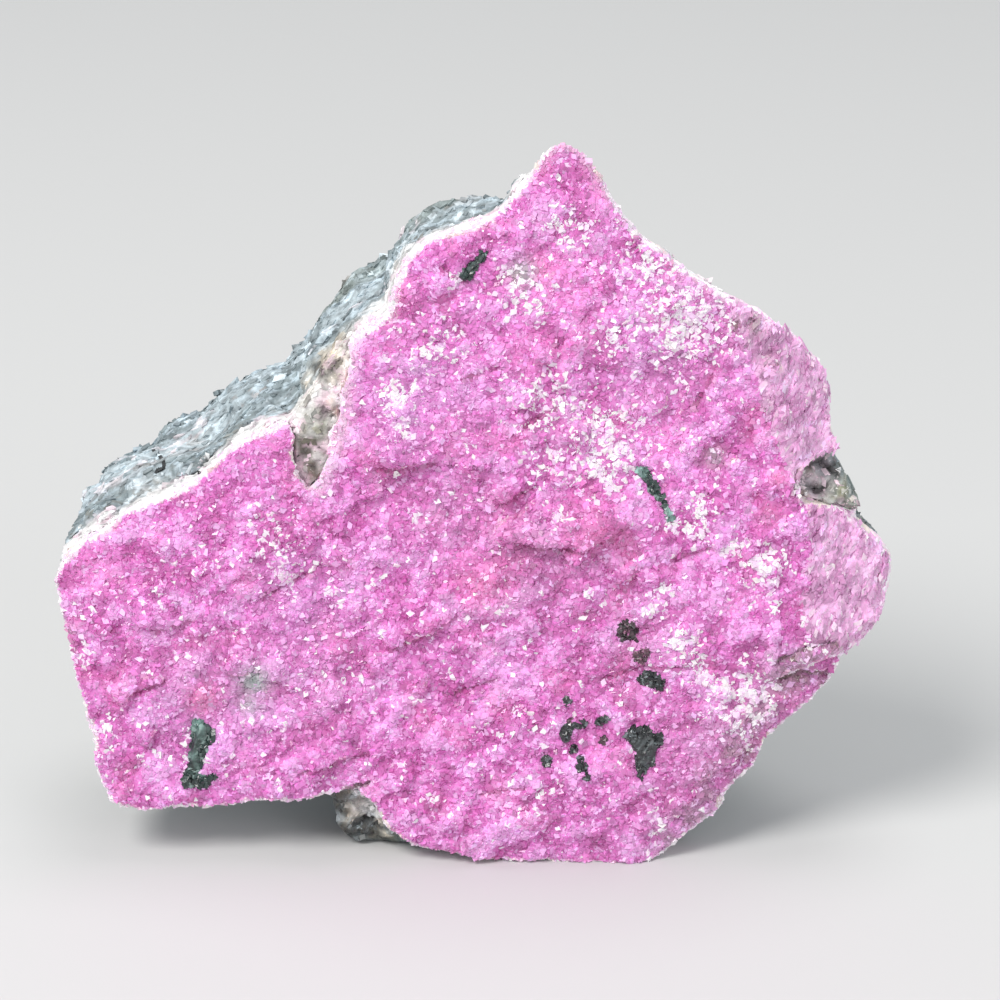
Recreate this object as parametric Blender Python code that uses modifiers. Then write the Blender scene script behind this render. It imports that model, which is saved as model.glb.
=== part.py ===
"""A hand specimen of cobalt-rich pink dolomite, about 63 mm across.

A druse of small pink rhombs covers the front of a broken slab of grey dolomite rock. The
specimen stands on the broken lower edge of the slab, leaning back a little. Dark grains of
malachite and heterogenite sit in pockets of the druse.

Everything is modelled in the frame of the druse face: x to the right, y into the rock and
z up the face, in millimetres. The last step leans the face back and stands the specimen on
its base.
"""

import math
import random

import bmesh
import bpy
from mathutils import Matrix, Vector, noise
from mathutils.bvhtree import BVHTree

MM = 0.001
LEAN = math.radians(8)  # how far the druse face leans back from upright
CRUST = 2.6  # thickness of the druse layer
GAP = 0.3  # clearance between pieces that touch
SEED = 41

BLOCK_DEPTH = 22.0  # of the slab before its back is broken off
WORN = 0.2  # added all round, for the edges that the rough surface takes off
VOXEL = 0.7  # grain of the remeshed rock
SLAB_TRIANGLES = 3700
CRYSTALS = 138

# Outline of the druse face, clockwise from the peak, as (x, z)
FACE_OUTLINE = (
    (6.2, 55.9), (7.9, 55.4), (9.1, 53.9), (9.7, 51.6), (12.0, 48.5), (15.3, 45.9),
    (18.4, 43.8), (22.7, 41.7), (23.8, 40.7), (25.7, 38.3), (26.8, 35.7), (26.6, 33.8),
    (27.3, 30.7), (27.7, 27.1), (30.0, 24.9), (31.7, 22.6), (30.9, 19.6), (29.6, 17.7),
    (27.5, 16.3), (27.0, 14.7), (24.3, 12.3), (22.1, 9.8), (20.9, 7.5), (18.7, 5.0),
    (18.3, 3.7), (15.6, 2.2), (13.7, 0.0), (9.4, -0.2), (3.3, 0.4), (-2.8, 0.8),
    (-4.5, 1.2), (-6.1, 2.2), (-7.2, 3.6), (-7.9, 5.0), (-8.7, 5.9), (-10.1, 6.1),
    (-11.6, 5.9), (-13.6, 5.2),
    (-18.2, 5.0), (-20.9, 4.2), (-24.7, 3.9), (-27.9, 4.7), (-28.8, 7.4), (-28.9, 9.6),
    (-30.2, 14.0), (-31.6, 18.8), (-31.2, 20.9), (-31.6, 22.7), (-30.7, 24.2), (-29.1, 25.6),
    (-25.3, 27.8), (-20.9, 29.6), (-18.3, 32.0), (-15.1, 34.2), (-13.6, 34.4), (-11.8, 37.4),
    (-9.6, 39.9), (-8.5, 41.2), (-6.0, 42.0), (-5.9, 43.9), (-4.9, 46.3), (-3.3, 47.9),
    (1.8, 50.1), (4.0, 52.9), (5.1, 54.9),
)

# Broken facets, each a plane through three points (x, depth, z)
BODY_CORE = (5, 8, 22)
BODY_FACETS = (
    ((-13, 0, 0), (-13, 10, 0), (-13, 0, 10)),  # towards the wing, buried in it
    ((-12, 20, 26), (14, 20.5, 8), (-6, 19, 42)),  # back
    ((-8.6, 17, 46.6), (3.5, 2.6, 54.2), (8, 13, 41)),  # back of the peak
    ((12.5, 2.8, 48.5), (24, 2.8, 40.2), (6, 17, 36)),  # back of the right shoulder
    ((27.5, 6.5, 36), (31.5, 5.0, 22), (17, 19, 20)),  # right end
    ((24.5, 5, 12), (14, 5, 0), (12, 19, 10)),  # low on the right
    ((-12, 16, 2.2), (14, 15, 2.0), (2, 20, 9)),  # heel
    ((20.1, 0, 42.9), (24.3, 0, 30.4), (27.0, 3.0, 35.8)),  # bare facet beside the druse
    ((24.6, 0, 26.9), (26.5, 0, 17.0), (31.9, 2.8, 22.6)),  # bare facet of the right lobe
    ((25.6, 0, 15.9), (13.3, 0, 1.4), (22.2, 1.6, 8.6)),  # worn lower right edge
)
WING_CORE = (-18, 8, 18)
WING_FACETS = (
    ((-7, 0, 0), (-7, 10, 0), (-7, 0, 10)),  # towards the body, buried in it
    ((-31, 17.5, 26), (-12, 19.5, 38), (-20, 17, 9)),  # back
    ((-31.6, 1.0, 22.7), (-29.8, 16, 25.5), (-28.4, 1.0, 4.7)),  # left end
    ((-28, 1.5, 4.6), (-12, 1.5, 5.4), (-20, 15, 10)),  # underside, clear of the table
)

# Knobs of bare rock that stand out past the druse: outline as (x, z), near and far depth
FOOT = (
    ((-11.6, 6.5), (-11.4, 5.3), (-11.0, 4.1), (-10.7, 2.6), (-9.9, 0.8), (-9.0, -1.0),
     (-3.0, -1.0), (-3.0, 7.0), (-9.0, 8.0)),
    3.4,
    15.0,
)
NUB = (
    ((25.6, 31.9), (26.6, 31.5), (27.6, 30.2), (28.5, 28.8), (29.0, 27.4), (28.4, 26.3),
     (23.5, 26.3), (22.5, 29.6), (23.5, 31.8)),
    3.4,
    9.0,
)

# Places where the druse has come away and the rock shows, as outlines (x, z)
SLOT = (
    (-14.8, 36.2), (-9.8, 40.7), (-9.2, 39.5), (-9.5, 38.2), (-10.0, 36.7), (-10.2, 35.2),
    (-10.8, 33.9), (-11.1, 31.8), (-11.8, 30.2), (-12.7, 29.2), (-13.5, 30.5), (-13.9, 32.1),
    (-13.7, 33.6), (-14.2, 34.9),
)
NOTCH = (
    (27.6, 32.3), (25.8, 31.8), (24.5, 31.0), (24.1, 29.7), (24.4, 28.3), (26.0, 27.9),
    (28.2, 27.2), (31.5, 27.4), (31.5, 32.3),
)

# Relief of the druse: swells and hollows as (x, z, half-width, half-height, turn, rise)
SWELLS = (
    (1.8, 21.1, 3.6, 2.6, 20, 0.7), (8.5, 27.7, 3.6, 2.3, 0, 0.8), (-5.7, 32.7, 3.2, 2.0, 0, 0.6),
    (7.0, 51.0, 3.0, 3.0, 0, 0.4), (1.8, 3.7, 8.0, 3.5, 10, 0.8), (9.3, 8.0, 4.0, 3.0, 0, 0.4),
    (-24.5, 21.9, 4.0, 3.0, 20, 0.5), (-16.2, 31.9, 3.0, 2.0, 30, 0.5),
    (-14.7, 25.9, 5.0, 1.5, 35, 0.5), (18.3, 20.3, 5.0, 3.0, 0, 0.4),
    (-11.0, 19.6, 4.0, 2.5, 30, -0.5), (-0.5, 14.1, 5.0, 3.0, 10, -0.6),
    (13.8, 34.2, 4.0, 5.0, -20, -0.5), (0.3, 29.6, 4.0, 2.0, 10, -0.4),
    (-19.0, 13.0, 4.0, 3.0, 30, -0.4), (5.0, 41.0, 5.0, 3.0, 30, 0.4),
)
# Ledges, each a line from (x, z) to (x, z) that the druse above overhangs: height and reach
LEDGES = (
    (2.9, 25.3, 8.4, 24.9, 1.1, 4.0), (8.0, 24.9, 11.4, 26.8, 1.1, 4.0),
    (-7.6, 31.1, -3.1, 31.3, 0.8, 3.5), (-6.5, 17.0, -3.3, 18.2, 0.9, 4.0),
    (-3.3, 18.2, -1.6, 19.7, 0.7, 4.0), (9.3, 14.7, 16.0, 15.7, 0.7, 3.5),
    (21.5, 15.6, 27.1, 16.6, 0.8, 3.0), (-13.6, 7.3, -8.4, 8.7, 0.6, 3.0),
    (-24.5, 18.4, -21.5, 19.4, 0.5, 3.0), (1.8, 28.1, 4.2, 29.6, 0.6, 3.0),
    (-2.7, 46.5, -0.6, 45.5, 0.5, 2.5),
)

# Dark grains in the druse: name, centre (x, z), width, height, turn, colour
MALACHITE = (0.020, 0.075, 0.055, 1)
HETEROGENITE = (0.018, 0.020, 0.024, 1)
GRAINS = (
    ("malachite_blade", (-21.1, 8.8), 1.7, 5.2, 8, MALACHITE),
    ("malachite_sliver", (13.4, 29.8), 0.85, 3.6, -38, MALACHITE),
    ("malachite_splinter", (-0.2, 46.7), 0.8, 2.8, 50, MALACHITE),
    ("heterogenite_knot", (12.6, 9.2), 2.5, 3.8, 6, HETEROGENITE),
    ("heterogenite_patch", (13.4, 14.5), 1.9, 1.4, 15, HETEROGENITE),
    ("heterogenite_grain", (11.4, 18.4), 1.5, 1.4, 0, HETEROGENITE),
    ("heterogenite_chain", (7.2, 10.3), 1.3, 2.0, -25, HETEROGENITE),
)
GRAIN_RISE = 0.25  # how far a grain stands proud of the druse
GRAIN_DEPTH = 1.1  # how far it reaches in

DRUSE_PINK = (0.69, 0.25, 0.56, 1)
ROCK_GREY = (0.42, 0.47, 0.49, 1)


def clear_scene():
    for obj in list(bpy.data.objects):
        bpy.data.objects.remove(obj)


def collection(name):
    made = bpy.data.collections.new(name)
    bpy.context.scene.collection.children.link(made)
    return made


def material(name, colour, roughness):
    made = bpy.data.materials.new(name)
    made.use_nodes = True
    shader = made.node_tree.nodes["Principled BSDF"]
    shader.inputs["Base Color"].default_value = colour
    shader.inputs["Roughness"].default_value = roughness
    shader.inputs["Metallic"].default_value = 0
    return made


def mesh_object(name, bm, place):
    mesh = bpy.data.meshes.new(name)
    bm.to_mesh(mesh)
    bm.free()
    obj = bpy.data.objects.new(name, mesh)
    place.objects.link(obj)
    return obj


def baked(obj):
    """Applies the object's modifiers to its mesh."""
    bpy.context.view_layer.update()
    graph = bpy.context.evaluated_depsgraph_get()
    mesh = bpy.data.meshes.new_from_object(obj.evaluated_get(graph))
    obj.modifiers.clear()
    obj.data = mesh
    return obj


def outline_block(name, outline, near, far, place):
    """A block with this outline (x, z), between two depths, all in millimetres."""
    curve = bpy.data.curves.new(name, "CURVE")
    curve.dimensions = "2D"
    curve.fill_mode = "BOTH"
    curve.extrude = (far - near) / 2 * MM
    spline = curve.splines.new("POLY")
    spline.points.add(len(outline) - 1)
    for point, (x, z) in zip(spline.points, outline):
        point.co = (x * MM, z * MM, 0, 1)
    spline.use_cyclic_u = True
    shape = bpy.data.objects.new(name + "_outline", curve)
    shape.rotation_euler.x = math.pi / 2
    shape.location.y = (near + far) / 2 * MM
    place.objects.link(shape)
    bpy.context.view_layer.update()
    graph = bpy.context.evaluated_depsgraph_get()
    mesh = bpy.data.meshes.new_from_object(shape.evaluated_get(graph))
    mesh.transform(shape.matrix_world)
    bpy.data.objects.remove(shape)
    bm = bmesh.new()
    bm.from_mesh(mesh)
    bmesh.ops.remove_doubles(bm, verts=bm.verts, dist=0.01 * MM)
    bmesh.ops.recalc_face_normals(bm, faces=bm.faces)
    return mesh_object(name, bm, place)


def spread_back(obj):
    """Spreads the back of the block on its upper left side, where the rock stands out."""
    for vertex in obj.data.vertices:
        x, depth, z = vertex.co / MM
        side = smooth_step(6, 1, x) * smooth_step(22, 26, z) * depth / BLOCK_DEPTH
        end = smooth_step(-26, -30, x)
        vertex.co.x -= (1.2 + 1.2 * end) * side * MM
        vertex.co.z += (1.6 - 1.4 * end) * side * MM


def cut_away(bm, point, normal):
    """Cuts off what lies on the normal's side of the plane and closes the cut."""
    cut = bmesh.ops.bisect_plane(
        bm,
        geom=bm.verts[:] + bm.edges[:] + bm.faces[:],
        dist=1e-6,
        plane_co=point,
        plane_no=normal,
        clear_outer=True,
    )
    rim = [item for item in cut["geom_cut"] if isinstance(item, bmesh.types.BMEdge)]
    bmesh.ops.edgeloop_fill(bm, edges=rim)


def break_facets(obj, facets, core):
    """Breaks the block along each facet, on the side away from its core."""
    bm = bmesh.new()
    bm.from_mesh(obj.data)
    for corners in facets:
        first, second, third = (Vector(corner) * MM for corner in corners)
        normal = (second - first).cross(third - first).normalized()
        if normal.dot(Vector(core) * MM - first) > 0:
            normal.negate()
        cut_away(bm, first, normal)
    bmesh.ops.recalc_face_normals(bm, faces=bm.faces)
    bm.to_mesh(obj.data)
    bm.free()


def smooth_step(low, high, value):
    share = min(1, max(0, (value - low) / (high - low)))
    return share * share * (3 - 2 * share)


def swell_rise(x, z, swell):
    centre_x, centre_z, half_width, half_height, turn, rise = swell
    angle = math.radians(turn)
    across = (x - centre_x) * math.cos(angle) + (z - centre_z) * math.sin(angle)
    along = (z - centre_z) * math.cos(angle) - (x - centre_x) * math.sin(angle)
    return rise * math.exp(-((across / half_width) ** 2) - (along / half_height) ** 2)


def ledge_rise(x, z, ledge):
    """Full height just above the ledge's line, none below it, fading over its reach."""
    x0, z0, x1, z1, height, reach = ledge
    start, end, point = Vector((x0, z0)), Vector((x1, z1)), Vector((x, z))
    run = end - start
    share = (point - start).dot(run) / run.length_squared
    above = run.normalized().cross(point - start)
    if above > reach:
        return 0
    ends = smooth_step(-0.3, 0.1, share) * smooth_step(1.3, 0.9, share)
    return height * ends * smooth_step(-0.4, 0.4, above) * (1 - max(0, above) / reach)


def druse_relief(x, z):
    """Rise of the druse face at a point: swells, ledges and slanting growth ridges."""
    rise = sum(swell_rise(x, z, swell) for swell in SWELLS)
    rise += sum(ledge_rise(x, z, ledge) for ledge in LEDGES)
    slant = math.radians(24)
    along = x * math.cos(slant) + z * math.sin(slant)
    across = z * math.cos(slant) - x * math.sin(slant)
    ridges = noise.noise(Vector((along / 9, across / 3.2, 3.7)))
    lumps = noise.noise(Vector((x / 2.2, z / 2.2, 8.1)))
    return rise + 0.45 * ridges + 0.28 * lumps


def rock_relief(point):
    """Rise of the bare rock: broad swells, tilted chips with steps between them, grain."""
    broad = noise.noise(point / 8)
    chip = noise.voronoi(point / 4.5)[1][0]
    tilt = noise.noise_vector(chip * 3.1)
    fine = noise.voronoi(point / 1.9)[1][0]
    rough = (
        0.6 * broad
        + 1.5 * (point / 4.5 - chip).dot(tilt)
        + 0.45 * (point / 1.9 - fine).dot(noise.noise_vector(fine * 2.3))
    )
    return WORN + rough * (0.35 + 0.65 * smooth_step(0.5, 6, point.y))


def roughen(obj):
    """Moves the surface out and in: the druse face by its relief, the rest as broken rock."""
    moves = []
    for vertex in obj.data.vertices:
        point = vertex.co / MM
        druse = smooth_step(0.55, 0.9, -vertex.normal.y) * smooth_step(7, 4, point.y)
        rise = druse * druse_relief(point.x, point.z) + (1 - druse) * rock_relief(point)
        moves.append(vertex.co + vertex.normal * rise * MM)
    for vertex, moved in zip(obj.data.vertices, moves):
        vertex.co = moved


def broken_slab(place):
    """The whole specimen before it is parted into rock and druse."""
    body = outline_block("slab", FACE_OUTLINE, 0, BLOCK_DEPTH, place)
    spread_back(body)
    break_facets(body, BODY_FACETS, BODY_CORE)
    wing = outline_block("wing", FACE_OUTLINE, 0, BLOCK_DEPTH, place)
    spread_back(wing)
    break_facets(wing, WING_FACETS, WING_CORE)
    knobs = [outline_block("foot", *FOOT, place), outline_block("nub", *NUB, place)]
    bm = bmesh.new()
    bm.from_mesh(body.data)
    for block in (wing, *knobs):
        bm.from_mesh(block.data)
        bpy.data.objects.remove(block)
    bm.to_mesh(body.data)
    bm.free()
    remesh = body.modifiers.new("grain", "REMESH")
    remesh.mode = "VOXEL"
    remesh.voxel_size = VOXEL * MM
    baked(body)
    roughen(body)
    thin = body.modifiers.new("facets", "DECIMATE")
    thin.ratio = SLAB_TRIANGLES / (2 * len(body.data.polygons))
    baked(body)
    bm = bmesh.new()
    bm.from_mesh(body.data)
    cut_away(bm, (0, 0, 0), (0, math.sin(LEAN), -math.cos(LEAN)))
    bmesh.ops.triangulate(bm, faces=[face for face in bm.faces if len(face.verts) > 4])
    bm.to_mesh(body.data)
    bm.free()
    return body


def parting_depth(x, z):
    """Depth of the surface where the druse layer ends and the rock begins."""
    waves = 0.3 * noise.noise(Vector((x / 6, z / 6, 1.3)))
    thicker = min(2.4, 0.35 * max(0, x - 19))
    at_slot = 1.1 * math.exp(-(((x + 11.8) / 3) ** 2) - ((z - 34) / 5) ** 2)
    at_nub = 2.0 * math.exp(-(((x - 27) / 3.5) ** 2) - ((z - 29) / 3) ** 2)
    return CRUST + waves + thicker - at_slot - at_nub


def parting_block(name, front, place):
    """A block in front of the parting surface or behind it, with that surface as one side."""
    step, count, far = 4.0, 20, 45.0
    offset = GAP if front else 0
    bm = bmesh.new()
    rows = []
    for row in range(count):
        z = row * step - 8
        line = []
        for column in range(count):
            x = column * step - 38
            line.append(bm.verts.new(Vector((x, parting_depth(x, z) + offset, z)) * MM))
        rows.append(line)
    for low, high in zip(rows, rows[1:]):
        for column in range(count - 1):
            bm.faces.new((low[column], low[column + 1], high[column + 1]))
            bm.faces.new((low[column], high[column + 1], high[column]))
    pulled = bmesh.ops.extrude_face_region(bm, geom=bm.faces[:])["geom"]
    for item in pulled:
        if isinstance(item, bmesh.types.BMVert):
            item.co.y = (-far if front else far) * MM
    bmesh.ops.recalc_face_normals(bm, faces=bm.faces)
    block = mesh_object(name, bm, place)
    block.display_type = "WIRE"
    block.hide_render = True
    return block


def drop_crumbs(obj):
    """Keeps the largest body of the mesh and removes crumbs that a cut left loose."""
    bm = bmesh.new()
    bm.from_mesh(obj.data)
    bodies = []
    left = set(bm.verts)
    while left:
        front = [left.pop()]
        body = set(front)
        while front:
            for edge in front.pop().link_edges:
                for vertex in edge.verts:
                    if vertex in left:
                        left.remove(vertex)
                        body.add(vertex)
                        front.append(vertex)
        bodies.append(body)
    bodies.sort(key=len)
    for body in bodies[:-1]:
        bmesh.ops.delete(bm, geom=list(body), context="VERTS")
    bm.to_mesh(obj.data)
    bm.free()


def cut(obj, cutter, operation="DIFFERENCE"):
    step = obj.modifiers.new(cutter.name, "BOOLEAN")
    step.operation = operation
    step.object = cutter
    step.use_self = True
    baked(obj)
    drop_crumbs(obj)
    bpy.data.objects.remove(cutter)


def copy_of(obj, name, place):
    made = bpy.data.objects.new(name, obj.data.copy())
    place.objects.link(made)
    return made


def grain_lump(name, width, height, turn, grow, rng, place):
    """A faceted lump for a dark grain or, grown by the gap, the pocket that it sits in."""
    bm = bmesh.new()
    bmesh.ops.create_icosphere(bm, subdivisions=2 if height > 3 and width > 1.5 else 1, radius=1)
    depth = GRAIN_RISE + GRAIN_DEPTH
    for vertex in bm.verts:
        vertex.co *= 1 + rng.uniform(-0.13, 0.13)
        vertex.co.x *= width / 2 + grow
        vertex.co.y *= depth / 2 + grow
        vertex.co.z *= height / 2 + grow
    bmesh.ops.scale(bm, vec=(MM, MM, MM), verts=bm.verts)
    bmesh.ops.rotate(bm, verts=bm.verts, matrix=Matrix.Rotation(math.radians(turn), 3, "Y"))
    return mesh_object(name, bm, place)


def face_depth(surface, x, z):
    """Depth of the druse face at (x, z), or None off its edge."""
    hit = surface.ray_cast(Vector((x, -20, z)) * MM, Vector((0, 1, 0)))
    return None if hit[0] is None else hit[0].y / MM


def seat_grains(crust, parts, cutters):
    """Cuts each dark grain's pocket in the crust and puts the grain in it."""
    surface = BVHTree.FromObject(crust, bpy.context.evaluated_depsgraph_get())
    for number, (name, (x, z), width, height, turn, colour) in enumerate(GRAINS):
        depth = face_depth(surface, x, z) + (GRAIN_DEPTH - GRAIN_RISE) / 2
        place = Matrix.Translation(Vector((x, depth, z)) * MM)
        shape = (width, height, turn)
        pocket = grain_lump("pocket", *shape, GAP, random.Random(SEED + number), cutters)
        pocket.data.transform(place)
        cut(crust, pocket)
        grain = grain_lump(name, *shape, 0, random.Random(SEED + number), parts)
        grain.data.transform(place)
        grain.data.materials.append(material(name, colour, 0.35))


def near_grain(x, z, margin):
    return any(
        math.hypot(x - grain[1][0], z - grain[1][1]) < grain[3] / 2 + margin for grain in GRAINS
    )


def near_bare_rock(x, z, margin):
    """True near the slot, the notch or the bare facets on the right."""
    bare = SLOT + NOTCH
    return x > 23.5 or any(math.hypot(x - at_x, z - at_z) < margin for at_x, at_z in bare)


def crystal(bm, size, place):
    """A dolomite rhomb: a cube stood on its corner and flattened along that diagonal."""
    made = bmesh.ops.create_cube(bm, size=size * MM)["verts"]
    stand = Vector((1, 1, 1)).rotation_difference(Vector((0, 0, 1))).to_matrix().to_4x4()
    flatten = Matrix.Diagonal((1, 1, 0.85, 1))
    bmesh.ops.transform(bm, matrix=place @ flatten @ stand, verts=made)


def grow_crystals(crust, cutters):
    """Joins the larger rhombs of the druse to the crust, tips out, none over the edge."""
    rng = random.Random(SEED)
    surface = BVHTree.FromObject(crust, bpy.context.evaluated_depsgraph_get())
    placed = []
    bm = bmesh.new()
    while len(placed) < CRYSTALS:
        x, z = rng.uniform(-30, 26), rng.uniform(1.5, 54)
        size = rng.uniform(0.9, 1.6)
        tilt, spin = math.radians(rng.uniform(0, 38)), rng.uniform(0, math.tau)
        corners = [(x + step_x, z + step_z) for step_x in (-2, 0, 2) for step_z in (-2, 0, 2)]
        depths = [face_depth(surface, *corner) for corner in corners]
        if None in depths or near_grain(x, z, 1.6) or near_bare_rock(x, z, 2.2):
            continue
        if max(depths) > 2.4 or depths[4] + size > parting_depth(x, z) - 0.1:
            continue
        if any(math.hypot(x - at_x, z - at_z) < 0.9 * (size + other) for at_x, at_z, other in placed):
            continue
        placed.append((x, z, size))
        centre = Vector((x, depths[4] + 0.12 * size, z)) * MM
        outward = Matrix.Rotation(math.pi / 2, 4, "X")
        lean = Matrix.Rotation(tilt, 4, (math.cos(spin), math.sin(spin), 0))
        turn = Matrix.Rotation(spin, 4, "Z")
        crystal(bm, size, Matrix.Translation(centre) @ outward @ lean @ turn)
    crystals = mesh_object("crystals", bm, cutters)
    cut(crust, crystals, "UNION")


def stand_up(objects):
    """Leans the face back and puts the origin at the middle of the base."""
    lean = Matrix.Rotation(-LEAN, 4, "X")
    for obj in objects:
        obj.data.transform(lean)
    points = [vertex.co for obj in objects for vertex in obj.data.vertices]
    low = Vector(min(point[axis] for point in points) for axis in range(3))
    high = Vector(max(point[axis] for point in points) for axis in range(3))
    base = Vector(((low.x + high.x) / 2, (low.y + high.y) / 2, low.z))
    for obj in objects:
        obj.data.transform(Matrix.Translation(-base))


def main():
    clear_scene()
    noise.seed_set(SEED)
    parts = collection("dolomite_specimen")
    cutters = collection("cutters")
    slab = broken_slab(cutters)
    rock = copy_of(slab, "matrix_rock", parts)
    crust = copy_of(slab, "dolomite_crust", parts)
    bpy.data.objects.remove(slab)
    cut(rock, parting_block("front_of_parting", True, cutters))
    cut(crust, parting_block("behind_parting", False, cutters))
    cut(crust, outline_block("slot", SLOT, -6, 12, cutters))
    cut(crust, outline_block("notch", NOTCH, -6, 12, cutters))
    rock.data.materials.clear()
    crust.data.materials.clear()
    rock.data.materials.append(material("grey_dolomite_rock", ROCK_GREY, 0.8))
    crust.data.materials.append(material("pink_druse", DRUSE_PINK, 0.4))
    seat_grains(crust, parts, cutters)
    grow_crystals(crust, cutters)
    stand_up(list(parts.objects))


main()
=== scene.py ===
import math

import bmesh
import bpy
import numpy as np
from mathutils import Matrix, Vector, noise
from mathutils.bvhtree import BVHTree


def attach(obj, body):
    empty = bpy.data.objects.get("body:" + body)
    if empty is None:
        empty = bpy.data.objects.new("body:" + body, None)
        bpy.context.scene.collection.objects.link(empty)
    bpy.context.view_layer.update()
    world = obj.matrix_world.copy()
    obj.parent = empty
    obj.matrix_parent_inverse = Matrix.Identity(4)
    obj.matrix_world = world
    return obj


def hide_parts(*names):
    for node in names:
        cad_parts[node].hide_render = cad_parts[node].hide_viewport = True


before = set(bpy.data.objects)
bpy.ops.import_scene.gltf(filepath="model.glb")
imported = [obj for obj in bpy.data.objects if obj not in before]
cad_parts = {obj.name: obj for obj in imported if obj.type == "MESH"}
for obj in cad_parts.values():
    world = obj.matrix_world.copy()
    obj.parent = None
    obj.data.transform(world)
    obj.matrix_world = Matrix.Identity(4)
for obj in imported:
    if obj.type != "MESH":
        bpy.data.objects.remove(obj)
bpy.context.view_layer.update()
noise.seed_set(41)  # the same druse and rock each run
print("packed specimen loaded")

# the druse face leans back; on it x runs to the right, y into the rock and z up, in millimetres
faceLean = math.radians(8)
faceOrigin = np.array((0.088, -12.384, 0.0))
intoRock = Vector((0, math.cos(faceLean), -math.sin(faceLean)))


def toFace(points):
    moved = points * 1000 - faceOrigin
    depth = moved[:, 1] * math.cos(faceLean) - moved[:, 2] * math.sin(faceLean)
    rise = moved[:, 1] * math.sin(faceLean) + moved[:, 2] * math.cos(faceLean)
    return np.stack((moved[:, 0], depth, rise), axis=1)


def fromFace(points):
    depth = points[:, 1] * math.cos(faceLean) + points[:, 2] * math.sin(faceLean)
    rise = points[:, 2] * math.cos(faceLean) - points[:, 1] * math.sin(faceLean)
    return (np.stack((points[:, 0], depth, rise), axis=1) + faceOrigin) / 1000


def turnToFace(normals):
    depth = normals[:, 1] * math.cos(faceLean) - normals[:, 2] * math.sin(faceLean)
    rise = normals[:, 1] * math.sin(faceLean) + normals[:, 2] * math.cos(faceLean)
    return np.stack((normals[:, 0], depth, rise), axis=1)


def smoothStep(low, high, value):
    share = np.clip((value - low) / (high - low), 0, 1)
    return share * share * (3 - 2 * share)


def noiseAt(points, size, shift=0.0):
    scaled = (points / size + shift).tolist()
    return np.fromiter(map(noise.noise, scaled), float, len(scaled))


def chipsAt(points, size, shift=0.0):  # flat chips, each tilted its own way, with steps between them
    rises = np.empty(len(points))
    for number, point in enumerate((points / size + shift).tolist()):
        centre = noise.voronoi(point)[1][0]
        tilt = noise.noise_vector(centre * 3.7)
        rises[number] = (Vector(point) - centre).dot(tilt)
    return rises


def cellTone(points, size, shift=0.0):  # one even random tone for each grain of a crystalline rock
    tones = np.empty(len(points))
    for number, point in enumerate((points / size + shift).tolist()):
        centre = noise.voronoi(point)[1][0]
        tones[number] = noise.cell(centre * 23.0)
    return tones


def insideOutline(points, outline):
    inside = np.zeros(len(points), bool)
    corners = list(outline)
    for (x0, z0), (x1, z1) in zip(corners, corners[1:] + corners[:1]):
        crosses = (z0 > points[:, 2]) != (z1 > points[:, 2])
        if z0 != z1:
            edge = x0 + (points[:, 2] - z0) * (x1 - x0) / (z1 - z0)
            inside ^= crosses & (points[:, 0] < edge)
    return inside


def spotShare(points, spots):  # strongest of some soft round spots (x, z, radius, strength)
    share = np.zeros(len(points))
    for x, z, radius, strength in spots:
        distance = np.hypot(points[:, 0] - x, points[:, 2] - z)
        share = np.maximum(share, strength * np.exp(-((distance / radius) ** 2)))
    return share


def strokeShare(points, strokes, width):  # nearness to some thin cracks, each a chain of points (x, z)
    share = np.zeros(len(points))
    place = points[:, (0, 2)]
    for stroke in strokes:
        for start, end in zip(stroke[:-1], stroke[1:]):
            run = np.subtract(end, start)
            along = np.clip(((place - start) @ run) / (run @ run), 0, 1)
            distance = np.linalg.norm(place - start - along[:, None] * run, axis=1)
            share = np.maximum(share, np.exp(-((distance / width) ** 2)))
    return share


def readCoords(mesh):
    coords = np.empty(len(mesh.vertices) * 3)
    mesh.vertices.foreach_get("co", coords)
    return coords.reshape(-1, 3)


def readNormals(mesh):
    normals = np.empty(len(mesh.vertices) * 3, np.float32)
    mesh.vertex_normals.foreach_get("vector", normals)
    return normals.reshape(-1, 3).astype(float)


def writeCoords(mesh, coords):
    mesh.vertices.foreach_set("co", coords.astype(np.float32).ravel())
    mesh.update()


def paintPoints(mesh, name, colours):
    attribute = mesh.attributes.new(name, "FLOAT_COLOR", "POINT")
    rgba = np.ones((len(mesh.vertices), 4), np.float32)
    rgba[:, :3] = colours
    attribute.data.foreach_set("color", rgba.ravel())


def mixColours(first, second, share):
    share = np.asarray(share)[:, None]
    return np.asarray(first) * (1 - share) + np.asarray(second) * share


def surfaceTree(piece):
    corners = [vertex.co for vertex in piece.data.vertices]
    return BVHTree.FromPolygons(corners, [face.vertices[:] for face in piece.data.polygons])


def newPiece(name, mesh):
    piece = bpy.data.objects.new(name, mesh)
    bpy.context.scene.collection.objects.link(piece)
    return piece


def remeshedCopy(mesh, pieceName, voxel, smoothing):
    piece = newPiece(pieceName, mesh)
    remesh = piece.modifiers.new("grain", "REMESH")
    remesh.mode = "VOXEL"
    remesh.voxel_size = voxel / 1000
    if smoothing:
        smooth = piece.modifiers.new("soften", "SMOOTH")
        smooth.iterations = smoothing
        smooth.factor = 0.5
    applyModifiers(piece)
    piece.data.materials.clear()
    return piece


def applyModifiers(piece):
    graph = bpy.context.evaluated_depsgraph_get()
    mesh = bpy.data.meshes.new_from_object(piece.evaluated_get(graph))
    piece.modifiers.clear()
    piece.data = mesh


thinning = 0.9  # share of the hidden faces that goes


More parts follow.
